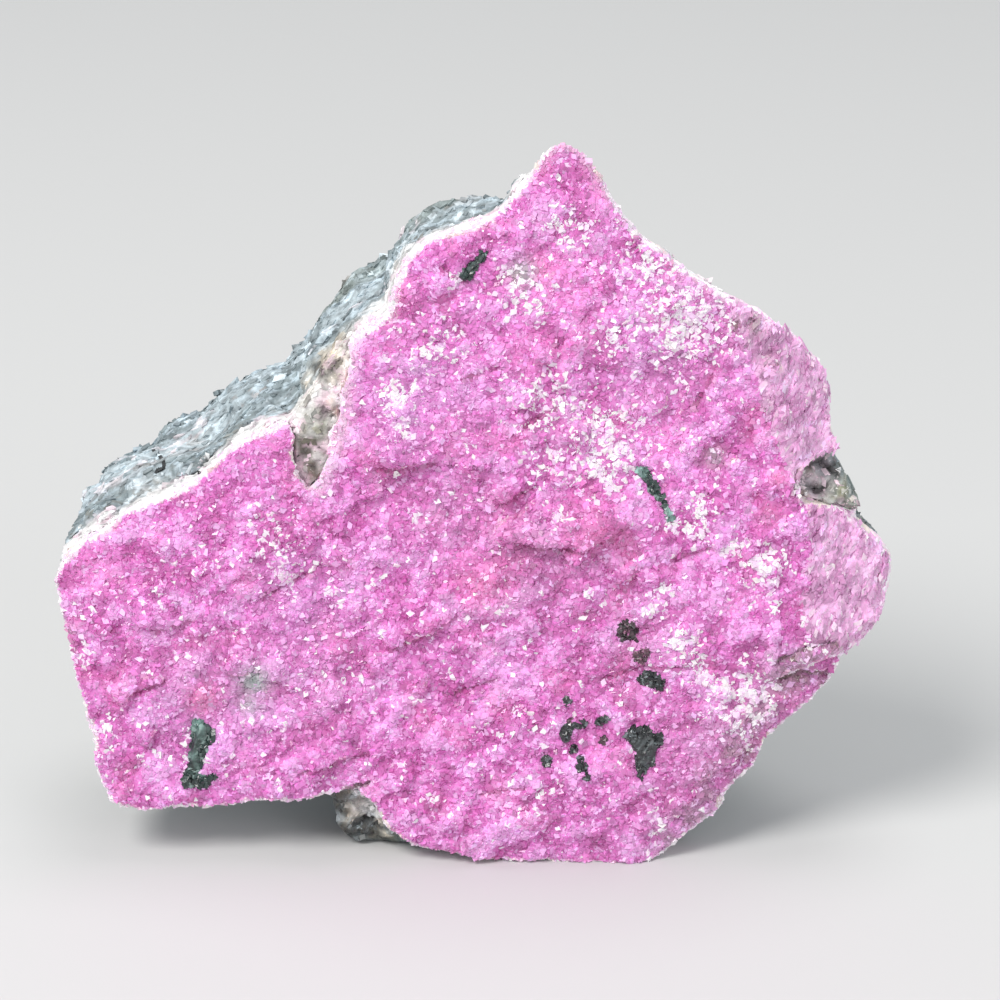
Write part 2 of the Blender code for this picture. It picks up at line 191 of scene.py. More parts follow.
def thinOut(piece, hidden):  # fewer faces where the two layers lie against each other
    group = piece.vertex_groups.new(name="against")
    for share in (0.5, 1.0):
        chosen = np.nonzero(hidden >= share)[0].tolist()
        group.add(chosen, share, "REPLACE")
    decimate = piece.modifiers.new("thin", "DECIMATE")
    decimate.ratio = 1 - thinning * float(np.mean(hidden >= 1.0))
    decimate.vertex_group = group.name
    applyModifiers(piece)
    piece.vertex_groups.clear()


# camera: from in front and above, in millimetres and degrees
cameraSetup = {
    "aim": (1.85, -8.39, 28.42),
    "elevation": 22,
    "distance": 290,
    "across": 75,  # width that it takes in at the aim
    "sensor": 36,
}


def addCamera(setup):
    camera = bpy.data.cameras.new("specimenCamera")
    camera.sensor_width = setup["sensor"]
    camera.lens = setup["sensor"] * setup["distance"] / setup["across"]
    camera.clip_start = 0.01
    camera.dof.use_dof = False
    holder = bpy.data.objects.new("specimenCamera", camera)
    bpy.context.scene.collection.objects.link(holder)
    elevation = math.radians(setup["elevation"])
    away = Vector((0, -math.cos(elevation), math.sin(elevation))) * setup["distance"]
    holder.location = (Vector(setup["aim"]) + away) / 1000
    holder.rotation_euler = (math.pi / 2 - elevation, 0, 0)
    bpy.context.scene.camera = holder


addCamera(cameraSetup)

# studio: pale floor, large soft lamps
studioSetup = {
    "floorColour": (0.60, 0.60, 0.595, 1),
    "floorRoughness": 0.85,
    "floorSide": 3.0,
    "worldColour": (0.94, 0.97, 1.0, 1),
    "worldStrength": 0.55,
    "viewTransform": "Standard",
    "lamps": (  # name, place, aim, size, watts, colour
        ("keyLamp", (-0.32, -0.34, 0.58), (0, 0, 0.03), 0.34, 4.2, (1.0, 0.985, 0.965)),
        ("topLamp", (0.05, 0.12, 0.60), (0, 0, 0.02), 0.30, 0.85, (1.0, 1.0, 1.0)),
        ("fillLamp", (0.45, -0.45, 0.25), (0, 0, 0.02), 0.40, 0.95, (0.95, 0.97, 1.0)),
    ),
}


def addStudio(setup):
    mesh = bpy.data.meshes.new("studioFloor")
    side = setup["floorSide"]
    mesh.from_pydata(
        [(-side, -side, 0), (side, -side, 0), (side, side, 0), (-side, side, 0)], [], [(0, 1, 2, 3)]
    )
    floor = newPiece("studioFloor", mesh)
    paper = bpy.data.materials.new("paleFloor")
    paper.use_nodes = True
    shader = paper.node_tree.nodes["Principled BSDF"]
    shader.inputs["Base Color"].default_value = setup["floorColour"]
    shader.inputs["Roughness"].default_value = setup["floorRoughness"]
    mesh.materials.append(paper)
    world = bpy.data.worlds.new("studioAir")
    world.use_nodes = True
    background = world.node_tree.nodes["Background"]
    background.inputs["Color"].default_value = setup["worldColour"]
    background.inputs["Strength"].default_value = setup["worldStrength"]
    bpy.context.scene.world = world
    bpy.context.scene.view_settings.view_transform = setup["viewTransform"]
    for name, place, aim, size, watts, colour in setup["lamps"]:
        lamp = bpy.data.lights.new(name, "AREA")
        lamp.shape = "DISK"
        lamp.size = size
        lamp.energy = watts
        lamp.color = colour
        holder = bpy.data.objects.new(name, lamp)
        holder.location = place
        holder.rotation_euler = (Vector(aim) - Vector(place)).to_track_quat("-Z", "Y").to_euler()
        bpy.context.scene.collection.objects.link(holder)


addStudio(studioSetup)
print("camera and studio made")

# where the druse is worn off or broken off, as outlines (x, z) on its face
bareZones = (
    (
        (18.4, 44.6), (19.4, 42.2), (20.2, 40.1), (20.9, 37.4), (21.8, 34.7), (22.9, 32.0),
        (24.0, 30.1), (29.0, 30.9), (29.5, 36.3), (28.0, 40.5), (24.5, 43.0), (21.1, 45.0),
    ),
    (
        (24.3, 28.6), (25.2, 26.2), (25.0, 23.9), (24.8, 21.6), (24.7, 19.2), (25.6, 17.6),
        (27.4, 16.3), (31.0, 16.5), (33.0, 20.0), (33.0, 23.1), (31.5, 26.6), (27.7, 29.0),
    ),
)
# spots with many white rhombs: (x, z, radius, share)
whiteSpots = (
    (15.8, 42.5, 2.6, 0.55), (12.8, 46.6, 1.9, 0.50), (6.9, 49.1, 1.3, 0.55), (5.1, 36.4, 2.2, 0.35),
    (9.2, 34.5, 2.2, 0.35), (10.0, 31.8, 1.9, 0.75), (5.9, 31.4, 1.6, 0.30), (-5.8, 36.8, 1.1, 0.70),
    (-5.7, 34.5, 0.8, 0.40), (-2.7, 40.2, 1.5, 0.35), (3.2, 44.7, 1.5, 0.60), (21.7, 23.3, 1.2, 0.90),
    (19.1, 25.2, 0.8, 0.60), (16.8, 27.9, 0.9, 0.55), (16.8, 26.0, 0.6, 0.40), (10.1, 41.1, 1.1, 0.50),
    (5.5, 32.2, 0.6, 0.50), (6.3, 27.5, 0.6, 0.50), (-14.4, 22.9, 0.9, 0.50), (-15.2, 25.6, 1.5, 0.25),
    (20.4, 12.8, 1.9, 1.0), (16.1, 17.0, 1.5, 0.45), (17.2, 15.0, 0.7, 0.7), (18.4, 14.2, 0.7, 0.7),
    (-22.2, 10.3, 0.35, 0.8), (-22.4, 9.4, 0.30, 0.8), (-22.6, 8.4, 0.30, 0.7), (-1.5, 45.6, 0.45, 0.7),
    (14.6, 27.2, 0.6, 0.8), (15.0, 26.6, 0.4, 0.8), (13.8, 20.3, 0.8, 0.40), (14.2, 21.9, 0.6, 0.40),
    (-0.5, 32.6, 0.4, 0.50), (-4.2, 27.5, 0.4, 0.50), (2.1, 20.3, 0.4, 0.50), (8.5, 21.7, 0.4, 0.50),
    (-13.5, 21.2, 0.4, 0.50), (-11.1, 21.5, 0.4, 0.50), (-8.4, 21.7, 0.4, 0.50), (-11.8, 23.7, 0.4, 0.40),
    (-30.2, 16.6, 0.9, 0.50), (-28.3, 10.3, 0.9, 0.40), (26.0, 18.4, 1.1, 0.50),
)
# dark grains: outline (x, z) of what shows of each
grainOutlines = {
    "heterogenite_knot": (
        (11.3, 10.2), (11.8, 11.0), (13.0, 11.0), (13.4, 10.5), (14.2, 10.3), (14.0, 9.7), (13.7, 9.3),
        (13.4, 8.4), (13.6, 8.0), (13.0, 7.7), (12.5, 6.9), (12.2, 7.5), (12.2, 8.2), (12.1, 9.2),
        (11.7, 9.8),
    ),
    "heterogenite_patch": (
        (12.3, 14.7), (12.7, 15.2), (13.5, 15.3), (13.6, 14.9), (14.3, 14.8), (14.3, 14.3), (14.0, 13.8),
        (13.6, 13.9), (13.0, 14.3), (12.5, 14.3),
    ),
    "heterogenite_chain": (
        (6.5, 10.8), (6.9, 11.2), (7.4, 11.1), (7.7, 11.5), (8.3, 11.3), (8.3, 11.0), (7.8, 10.9),
        (7.2, 10.8), (7.0, 10.2), (6.8, 9.9), (6.6, 10.1), (6.4, 10.5),
    ),
    "malachite_blade": (
        (-21.6, 11.3), (-21.1, 11.5), (-20.5, 10.8), (-20.0, 10.5), (-20.2, 9.7), (-20.7, 8.9),
        (-20.9, 7.9), (-21.3, 7.1), (-20.7, 7.1), (-20.9, 6.5), (-21.5, 6.2), (-22.3, 6.2), (-22.4, 6.8),
        (-22.0, 7.8), (-21.9, 8.9), (-21.7, 10.0),
    ),
    "blade_chip": ((-21.4, 6.3), (-20.9, 6.8), (-20.2, 7.2), (-20.0, 6.9), (-20.6, 6.3), (-21.1, 6.0)),
    "malachite_splinter": (
        (-1.2, 45.9), (-0.8, 46.4), (0.0, 47.1), (0.7, 47.8), (0.8, 47.5), (0.3, 46.7), (-0.3, 45.9),
        (-0.7, 45.5),
    ),
    "malachite_sliver": (
        (12.0, 31.3), (12.7, 31.2), (13.3, 30.2), (13.9, 29.2), (14.4, 28.2), (14.8, 27.3), (14.6, 27.2),
        (14.0, 28.2), (13.2, 29.2), (12.5, 30.2), (12.1, 30.7),
    ),
}
grainNames = {
    "malachite_blade": "malachiteBlade",
    "malachite_sliver": "malachiteSliver",
    "malachite_splinter": "malachiteSplinter",
    "heterogenite_knot": "heterogeniteKnot",
    "heterogenite_patch": "heterogenitePatch",
    "heterogenite_grain": "heterogeniteGrain",
    "heterogenite_chain": "heterogeniteChain",
}
# small dots of grit: (x, z, radius)
blackDots = (
    (6.8, 10.0, 0.24), (9.3, 11.4, 0.24), (9.7, 11.6, 0.22), (7.4, 9.2, 0.22), (7.9, 8.5, 0.20),
    (8.0, 7.9, 0.30), (8.4, 7.3, 0.20), (5.3, 8.2, 0.36), (6.9, 13.0, 0.22),
)
umberDots = (  # a ring round the brown grain
    (11.95, 18.5, 0.24), (11.7, 19.0, 0.22), (11.2, 19.1, 0.24), (10.8, 18.75, 0.22),
    (10.85, 18.25, 0.24), (11.2, 17.9, 0.26), (11.7, 18.0, 0.22), (12.0, 17.75, 0.14),
)
plumDots = (
    (12.4, 16.5, 0.50), (9.6, 9.9, 0.28), (11.4, 18.5, 0.26), (7.1, 11.5, 0.22), (12.9, 17.0, 0.20),
)
# cracks and overhung ledges in the druse, as chains of points (x, z)
cracks = (
    ((22.8, 16.2), (24.2, 17.0), (25.6, 17.4), (27.0, 17.6)), ((23.0, 14.6), (24.6, 15.1), (26.6, 14.7)),
    ((24.3, 31.6), (24.1, 30.2), (24.3, 29.0)), ((20.0, 42.0), (20.9, 42.7)), ((-10.0, 5.9), (-8.2, 6.4)),
)
ledges = (
    ((2.9, 25.3), (5.6, 25.0), (8.0, 24.9), (9.8, 25.7), (11.4, 26.8)),
    ((-7.6, 31.1), (-5.2, 30.9), (-3.1, 31.5)),
    ((-6.5, 17.0), (-3.3, 18.2), (-1.6, 19.7)), ((9.3, 14.7), (12.4, 15.6), (16.0, 15.7)),
    ((-13.6, 7.3), (-8.4, 8.7)), ((-24.5, 18.4), (-21.5, 19.4)), ((1.8, 28.1), (4.2, 29.6)),
    ((-2.6, 46.4), (-1.3, 45.5), (-0.8, 45.3)), ((-1.0, 38.0), (1.5, 38.9)), ((3.5, 34.2), (6.0, 35.8)),
    ((-16.2, 21.0), (-13.4, 22.6), (-12.6, 22.9)), ((16.4, 36.0), (17.6, 38.2)), ((-1.7, 13.4), (1.6, 14.6)),
    ((14.9, 24.0), (17.6, 24.9)), ((-26.5, 13.2), (-23.6, 14.6)), ((0.2, 5.6), (3.6, 6.2)),
)


def bareShare(points):
    wobble = noiseAt(points, 1.1, 4.0) * 0.7
    moved = points + np.stack((wobble, 0 * wobble, -wobble), axis=1)
    bare = np.zeros(len(points), bool)
    for outline in bareZones:
        bare |= insideOutline(moved, outline)
    return bare.astype(float)


def darkShare(points, grow=0.0):
    dark = np.zeros(len(points), bool)
    for outline in grainOutlines.values():
        middle = np.mean(outline, axis=0)
        grown = [tuple(middle + (np.array(corner) - middle) * (1 + grow)) for corner in outline]
        dark |= insideOutline(points, grown)
    for x, z, radius in blackDots + umberDots:
        dark |= np.hypot(points[:, 0] - x, points[:, 2] - z) < radius * (1 + grow)
    return dark


drusePalette = {
    "deep": (0.54, 0.113, 0.38),
    "mid": (0.735, 0.205, 0.575),
    "pale": (0.96, 0.53, 0.92),
    "lilac": (0.72, 0.35, 0.70),
    "dusk": (0.55, 0.20, 0.42),
    "coral": (0.90, 0.28, 0.52),
    "bright": (0.90, 0.29, 0.68),
    "white": (0.95, 0.91, 0.95),
    "bare": (0.60, 0.27, 0.50),
    "bareLight": (0.92, 0.50, 0.80),
    "rim": (0.90, 0.66, 0.80),
    "cream": (0.88, 0.76, 0.70),
    "stain": (0.20, 0.145, 0.13),
    # painted shadow under the overhung ledges
    "shade": (0.36, 0.06, 0.19),
    "mauve": (0.42, 0.235, 0.34),
    "grey": (0.40, 0.45, 0.44),
}
# pale edges of the druse, beside the slot and on the peak, as chains of points (x, z)
paleEdges = (
    ((3.6, 54.0), (5.0, 55.2), (6.4, 55.9), (7.8, 55.4), (8.9, 54.0), (9.8, 52.4)),
    ((-9.3, 40.3), (-9.6, 39.1), (-9.9, 37.0), (-10.1, 34.5), (-10.5, 33.3), (-11.1, 31.6), (-11.9, 29.9)),
)
# worn mauve edge low on the right, as a chain of points (x, z)
mauveEdges = (
    ((24.0, 15.5), (21.6, 12.2), (20.1, 9.8), (18.3, 6.8), (17.0, 4.2), (14.8, 1.6)),
)
# tinted spots of the druse, the bright ones partly painted highlight on domes and the dusk ones partly
# painted shade: (x, z, radius, strength)
greySpots = (
    (-16.9, 14.5, 1.3, 1.0), (-17.3, 12.6, 0.9, 0.7), (17.8, 31.9, 0.8, 0.6), (3.4, 46.1, 1.0, 0.9),
)
coralSpots = (
    (-20.7, 13.0, 1.3, 0.6), (9.0, 26.5, 2.6, 0.35), (0.5, 22.0, 2.2, 0.40), (22.0, 27.5, 1.2, 0.4),
    (25.6, 20.6, 1.1, 0.8), (22.6, 30.4, 0.8, 0.6), (4.8, 46.2, 1.2, 0.5), (-6.5, 44.5, 1.5, 0.5),
)
lilacSpots = (
    (-4.5, 36.0, 4.0, 0.5), (-13.0, 20.0, 4.0, 0.35), (-20.0, 12.0, 4.0, 0.45), (14.0, 40.0, 4.0, 0.3),
)
duskSpots = (
    (17.0, 9.5, 5.0, 0.45), (14.0, 5.5, 4.0, 0.30),
    (4.5, 24.5, 4.5, 0.55), (-1.0, 27.5, 4.0, 0.45), (12.5, 17.5, 3.5, 0.45), (-21.5, 15.0, 3.0, 0.45),
    (15.0, 10.0, 3.0, 0.40), (6.5, 33.5, 3.0, 0.35), (-12.0, 14.0, 3.5, 0.30), (13.0, 37.5, 2.5, 0.30),
    (17.5, 44.5, 1.8, 0.6), (19.6, 40.8, 1.6, 0.6), (14.5, 45.0, 1.5, 0.4), (20.0, 8.5, 1.8, 0.5),
)
brightSpots = (
    (6.6, 44.9, 2.8, 0.8), (3.4, 39.8, 1.6, 0.8), (-2.0, 33.9, 1.6, 0.7), (14.1, 33.3, 1.9, 0.7),
    (-1.2, 24.1, 1.2, 0.7), (9.3, 51.9, 1.6, 0.5), (-14.9, 33.6, 1.4, 0.8), (-28.6, 23.2, 2.0, 0.6),
    (-12.4, 27.5, 1.0, 0.7), (-7.5, 40.5, 1.5, 0.6), (20.5, 21.5, 1.6, 0.5), (9.5, 8.8, 1.2, 0.7),
)
stainSpots = (
    (25.5, 17.0, 0.8, 1.0), (24.0, 16.4, 0.7, 1.0), (27.2, 17.4, 0.6, 0.8), (24.6, 14.6, 0.8, 0.9),
    (26.3, 14.2, 0.6, 0.6), (22.5, 15.8, 1.6, 0.4), (20.5, 8.5, 1.4, 0.4), (19.2, 42.1, 0.6, 0.9),
    (20.8, 42.0, 1.0, 0.6), (17.5, 46.0, 1.2, 0.3), (21.5, 39.5, 0.8, 0.4), (24.2, 29.8, 0.7, 0.9),
    (3.2, 45.6, 0.9, 0.5), (-8.6, 43.0, 0.5, 0.4), (-30.6, 18.2, 0.7, 0.5),
)


def druseColour(points, height):
    palette = drusePalette
    broad = noiseAt(points, 5.0, 2.0)
    # painted shade and highlight: hollows and lower terraces are painted deep, tops pale, along with a broad
    # random tone
    colour = mixColours(palette["deep"], palette["mid"], smoothStep(-0.75, 0.05, height + 0.5 * broad))
    colour = mixColours(colour, palette["pale"], 0.55 * smoothStep(0.05, 0.6, height + 0.6 * broad))
    colour = mixColours(colour, palette["coral"], 0.22 * smoothStep(0.15, 0.5, noiseAt(points, 3.2, 31.0)))
    # lilac and coral are tints; bright is partly painted highlight and dusk partly painted shade, each also a
    # hue
    tintsAndLight = (("lilac", lilacSpots), ("dusk", duskSpots), ("coral", coralSpots), ("bright", brightSpots))
    for name, spots in tintsAndLight:
        colour = mixColours(colour, palette[name], spotShare(points, spots))
    return colour


def bareColour(points):
    palette = drusePalette
    mottle = noiseAt(points, 0.9, 8.0) + 0.8 * noiseAt(points, 2.6, 3.0)
    return mixColours(palette["bare"], palette["bareLight"], smoothStep(-0.5, 0.6, mottle))


crustSetup = {  # heights and depths in millimetres
    "voxel": 0.28,
    "smoothing": 2,
    "lumps": 0.17,
    "angles": 0.11,  # small tilted facets
    "grains": 0.05,
    "steps": 0.17,  # terraces that run up to the right
    "ledgeDepth": 0.34,
    "crackDepth": 0.55,
    "broken": 0.30,  # chips of the broken sides
    "wornChips": 0.42,  # broad chips of the two broken facets
    "wornRidges": 0.70,  # and their ridges
    "seam": 0.45,  # how far the back reaches to the rock
    "domeHeight": 0.8,  # round top of the peak
    "domeMiddle": 7.2,
    "domeWidth": 1.8,
    "drawnIn": 0.45,  # upper right edge
}
rowTurn = math.radians(24)  # the druse's ledges run up to the right
ridgeTurn = math.radians(50)  # and the broken faces' ridges more steeply


def rowsAt(points, turn, long, short):  # points stretched so that what is made from them runs in rows
    along = points[:, 0] * math.cos(turn) + points[:, 2] * math.sin(turn)
    across = points[:, 2] * math.cos(turn) - points[:, 0] * math.sin(turn)
    return np.stack((along / long, points[:, 1] / short, across / short), axis=1)


def ledgeHeight(points):
    broad = smoothStep(-0.05, 0.05, noiseAt(rowsAt(points, rowTurn, 4.5, 2.0), 1.0, 3.0)) - 0.5
    fine = smoothStep(-0.08, 0.08, noiseAt(rowsAt(points, rowTurn, 1.9, 0.95), 1.0, 8.0)) - 0.5
    return broad + 0.5 * fine


def lumpHeight(points):
    return noiseAt(points, 2.1, 1.0) + 0.7 * noiseAt(points, 0.95, 3.0)


def druseTone(points, turned, height):
    palette = drusePalette
    colour = mixColours(druseColour(points, height), bareColour(points), bareShare(points))
    colour = mixColours(colour, palette["grey"], spotShare(points, greySpots))
    colour = mixColours(colour, palette["rim"], 0.75 * strokeShare(points, paleEdges, 0.75))
    worn = strokeShare(points, mauveEdges, 1.7) * smoothStep(-0.6, 0.2, noiseAt(points, 1.6, 44.0))
    colour = mixColours(colour, palette["mauve"], 0.85 * worn)
    stain = spotShare(points, stainSpots) * smoothStep(-0.35, 0.1, noiseAt(points, 0.7, 23.0))
    # painted shadow: the ledge lines are painted dark, as the shade under their overhangs
    colour = mixColours(colour, palette["shade"], 0.75 * strokeShare(points, ledges, 0.20))
    colour = mixColours(colour, palette["stain"], np.maximum(stain, 0.9 * strokeShare(points, cracks, 0.26)))
    # the druse's sides are painted coral at the front edge, then rim, white and cream: partly its pale broken
    # edge, partly painted highlight of its bright translucent rim
    brink = points[:, 1] + 0.5 * noiseAt(points, 1.3, 21.0)
    side = smoothStep(0.80, 0.45, -turned[:, 1])
    colour = mixColours(colour, palette["coral"], 0.45 * side * smoothStep(-0.9, 0.0, brink))
    mottle = noiseAt(points, 1.0, 8.0)
    rim = mixColours(palette["rim"], palette["white"], smoothStep(-0.3, 0.3, mottle))
    rim = mixColours(rim, palette["cream"], smoothStep(0.1, 0.5, noiseAt(points, 2.5, 17.0)))
    return mixColours(colour, rim, side * smoothStep(-0.35, 0.4, brink))


def againstRock(mesh):
    turned = turnToFace(readNormals(mesh))
    return (turned[:, 1] > 0.5).astype(float)


def crustAround(tree, middle, radius):  # how deep the druse lies round a dark grain
    depths = []
    for turn in np.linspace(0, math.tau, 12, endpoint=False):
        x, z = middle[0] + radius * math.cos(turn), middle[2] + radius * math.sin(turn)
        start = fromFace(np.array([[x, -8.0, z]]))[0]
        hit = tree.ray_cast(Vector(start), intoRock, 0.02)[0]
        if hit is not None:
            depths.append(toFace(np.array([hit[:]]))[0, 1])
    return float(np.mean(depths))


def filledCrust():  # the druse grows close round the dark grains
    whole = bmesh.new()
    whole.from_mesh(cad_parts["dolomite_crust"].data)
    tree = BVHTree.FromBMesh(whole)
    levels = {}
    for nodeName in grainNames:
        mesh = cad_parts[nodeName].data.copy()
        points = toFace(readCoords(mesh))
        middle = points.mean(axis=0)
        out = points - middle
        radius = np.hypot(out[:, 0], out[:, 2])
        levels[nodeName] = crustAround(tree, middle, radius.max() + 0.9)
        grown = 1 + 0.5 / np.maximum(radius, 0.4)
        deeper = np.where(out[:, 1] > 0, 0.5, 0.0)
        depth = np.maximum(points[:, 1] + deeper, levels[nodeName] + 0.10)
        filling = np.stack((middle[0] + out[:, 0] * grown, depth, middle[2] + out[:, 2] * grown), axis=1)
        writeCoords(mesh, fromFace(filling))
        whole.from_mesh(mesh)
    joined = bpy.data.meshes.new("filledCrust")
    whole.to_mesh(joined)
    whole.free()
    return joined, levels


def makeCrust(mesh, setup):
    piece = remeshedCopy(mesh, "dolomiteCrust", setup["voxel"], setup["smoothing"])
    thinOut(piece, againstRock(piece.data))
    mesh = piece.data
    coords, normals = readCoords(mesh), readNormals(mesh)
    points, turned = toFace(coords), turnToFace(normals)
    front = smoothStep(0.25, 0.7, -turned[:, 1])
    back = smoothStep(0.2, 0.7, turned[:, 1])
    bare = bareShare(points)
    height = lumpHeight(points)
    steps = ledgeHeight(points)
    druse = setup["lumps"] * height + setup["grains"] * noiseAt(points, 0.5, 7.0) + setup["steps"] * steps
    druse += setup["angles"] * chipsAt(points, 0.9, 6.0)
    druse -= setup["ledgeDepth"] * strokeShare(points, ledges, 0.30)
    broken = setup["broken"] * chipsAt(points, 1.5) + 0.12 * noiseAt(points, 0.5, 5.0)
    worn = setup["wornChips"] * chipsAt(points, 2.6, 9.0) + 0.10 * noiseAt(points, 0.5, 7.0)
    worn += setup["wornRidges"] * chipsAt(rowsAt(points, ridgeTurn, 2.4, 0.85), 1.0, 2.0)
    rise = front * (druse * (1 - bare) + worn * bare) + (1 - front) * (1 - back) * broken
    rise -= setup["crackDepth"] * front * strokeShare(points, cracks, 0.28)
    coords += normals * (rise / 1000)[:, None]
    coords += np.array(intoRock) * (back * setup["seam"] / 1000)[:, None]
    shaped = toFace(coords)
    dome = np.exp(-(((shaped[:, 0] - setup["domeMiddle"]) / setup["domeWidth"]) ** 2))
    dome *= smoothStep(48.0, 52.5, shaped[:, 2])
    drawnIn = smoothStep(22.0, 28.0, shaped[:, 0]) * smoothStep(31.0, 35.0, shaped[:, 2])
    shaped[:, 0] -= setup["drawnIn"] * drawnIn
    shaped[:, 2] += setup["domeHeight"] * dome
    coords = fromFace(shaped)
    coords[:, 2] = np.maximum(coords[:, 2], 0)
    writeCoords(mesh, coords)
    mesh.shade_flat()
    # the tint paints shade into the hollows and highlight onto the tops
    paintPoints(mesh, "druseTint", druseTone(points, turned, height + 0.5 * steps))
    return piece


def rhombCorners(edges):  # corners of a block with these three edges
    steps = [(x, y, z) for x in (-0.5, 0.5) for y in (-0.5, 0.5) for z in (-0.5, 0.5)]
    return np.array(steps) @ np.array(edges)


def standingEdges(flatness):  # a cube stood on its corner and flattened along that diagonal
    stand = Vector((1, 1, 1)).rotation_difference(Vector((0, 0, 1))).to_matrix()
    return np.array([(stand @ axis)[:] for axis in Matrix.Identity(3)]) * np.array((1, 1, flatness))


def tipCorners(setup):  # only the upward point of a leaning rhomb, for the finest grains
    turns = (0, math.tau / 3, 2 * math.tau / 3)
    radius, foot = setup["tipRadius"], setup["tipFoot"]
    ring = [(radius * math.cos(turn), radius * math.sin(turn), foot) for turn in turns]
    return np.array([setup["tipPoint"]] + ring)


rhombFaces = np.array(((0, 1, 3, 2), (4, 6, 7, 5), (0, 4, 5, 1), (2, 3, 7, 6), (0, 2, 6, 4), (1, 5, 7, 3)))
tipFaces = np.array(((0, 1, 2), (0, 2, 3), (0, 3, 1), (1, 3, 2)))


def samplePoints(mesh, count, rng):
    mesh.calc_loop_triangles()
    triangles = np.empty(len(mesh.loop_triangles) * 3, np.int32)
    mesh.loop_triangles.foreach_get("vertices", triangles)
    triangles = triangles.reshape(-1, 3)
    coords, normals = readCoords(mesh), readNormals(mesh)
    corners = coords[triangles]
    areas = np.linalg.norm(np.cross(corners[:, 1] - corners[:, 0], corners[:, 2] - corners[:, 0]), axis=1)
    chosen = rng.choice(len(triangles), count, p=areas / areas.sum())
    weights = rng.dirichlet((1, 1, 1), count)[:, :, None]
    spots = (corners[chosen] * weights).sum(axis=1)
    facing = (normals[triangles[chosen]] * weights).sum(axis=1)
    return spots, facing / np.linalg.norm(facing, axis=1)[:, None]


def crystalMesh(name, form, spots, axes, spins, sizes, lengths, colours, along=(0.31, 0.78, 0.54)):
    corners, faces = form
    count, each, sides = len(spots), len(corners), faces.shape[1]
    along = np.broadcast_to(along, axes.shape)
    side = along - axes * (axes * along).sum(axis=1)[:, None]
    side /= np.linalg.norm(side, axis=1)[:, None]
    other = np.cross(axes, side)
    turnedSide = side * np.cos(spins)[:, None] + other * np.sin(spins)[:, None]
    turnedOther = np.cross(axes, turnedSide)
    local = corners[None, :, :] * sizes[:, None, None]
    local[:, :, 0] *= lengths[:, None]
    world = (
        local[:, :, 0:1] * turnedSide[:, None, :]
        + local[:, :, 1:2] * turnedOther[:, None, :]
        + local[:, :, 2:3] * axes[:, None, :]
    ) / 1000 + spots[:, None, :]
    world[:, :, 2] = np.maximum(world[:, :, 2], 0)
    indices = (faces[None, :, :] + np.arange(count)[:, None, None] * each).reshape(-1)
    mesh = bpy.data.meshes.new(name)
    mesh.vertices.add(count * each)
    mesh.loops.add(len(indices))
    mesh.polygons.add(len(indices) // sides)
    mesh.vertices.foreach_set("co", world.reshape(-1).astype(np.float32))
    mesh.loops.foreach_set("vertex_index", indices.astype(np.int32))
    mesh.polygons.foreach_set("loop_start", np.arange(0, len(indices), sides, dtype=np.int32))
    mesh.update(calc_edges=True)
    mesh.validate()
    mesh.shade_flat()
    paintPoints(mesh, "crystalTint", np.repeat(colours, each, axis=0))
    return mesh


def gatherSpots(piece, count, batch, rng, keep):  # spots on a piece, drawn until enough are kept
    keptSpots, keptNormals = [], []
    found = 0
    while found < count:
        spots, normals = samplePoints(piece.data, batch, rng)
        chosen = keep(spots, normals)
        keptSpots.append(spots[chosen])
        keptNormals.append(normals[chosen])
        found += chosen.sum()
    return np.concatenate(keptSpots)[:count], np.concatenate(keptNormals)[:count]


def drawSizes(sizes, count, rng, lean=1.5):  # most are small, a few are large
    low, high = sizes
    return low + (high - low) * rng.random(count) ** lean


def tiltedAxes(normals, spread, rng):
    axes = normals + spread * rng.normal(size=normals.shape)
    return axes / np.linalg.norm(axes, axis=1)[:, None]


crystalSetup = {  # lengths are shares of a crystal's own size
    "flatness": 0.70,  # of a rhomb that stands on its corner
    "lyingEdges": ((1.0, 0.0, 0.0), (0.29, 0.96, 0.0), (0.25, 0.18, 0.55)),  # of one with a face up
    "tipPoint": (0.36, 0.05, 0.22),
    "tipRadius": 0.66,
    "tipFoot": -0.16,
    "sinks": {"tip": 0.04, "standing": 0.26, "lying": 0.06},  # how deep each form sits
    "spread": 0.30,  # how far crystals lean
    "lengths": (0.75, 0.7),  # shortest, and what the longest has more
}
druseDepth = 3.2  # crystals grow down to this depth behind the face
tipForm = (tipCorners(crystalSetup), tipFaces)
standingForm = (rhombCorners(standingEdges(crystalSetup["flatness"])), rhombFaces)
lyingForm = (rhombCorners(crystalSetup["lyingEdges"]), rhombFaces)
crystalForms = {"tip": tipForm, "standing": standingForm, "lying": lyingForm}


def druseSpots(crust, count, rng, where):  # on the front of the druse, outside the dark grains
    def keep(spots, normals):
        points, turned = toFace(spots), turnToFace(normals)
        chance = where(points, turned) * smoothStep(0.0, 0.5, -turned[:, 1])
        chance *= (points[:, 1] < druseDepth) * ~darkShare(points, 0.02)
        return rng.random(len(spots)) < chance

    return gatherSpots(crust, count, count * 3, rng, keep)


def makeCrystals(name, crust, setup):
    rng = np.random.default_rng(setup["seed"])
    count, form = setup["count"], setup["form"]
    spots, normals = druseSpots(crust, count, rng, setup["where"])
    points, turned = toFace(spots), turnToFace(normals)
    across = drawSizes(setup["sizes"], count, rng)
    axes = tiltedAxes(normals, crystalSetup["spread"], rng)
    spots = spots - normals * (across * crystalSetup["sinks"][form] / 1000)[:, None]
    colours = setup["tint"](points, turned, rng)
    shortest, more = crystalSetup["lengths"]
    lengths = shortest + more * rng.random(count) ** 1.5
    spins = rng.random(count) * math.tau
    mesh = crystalMesh(name, crystalForms[form], spots, axes, spins, across, lengths, colours)
    return newPiece(name, mesh)


def grainTone(colour, rng, spread):
    colour = colour * (1 + spread * rng.normal(size=len(colour)))[:, None]
    return np.clip(colour, 0.01, 0.95)


pinkTones = {
    "heightSpread": 0.22,
    "paleFrom": 0.75,  # the share of rhombs past this is paler
    "pale": 0.85,
    "toneSpread": 0.13,
}


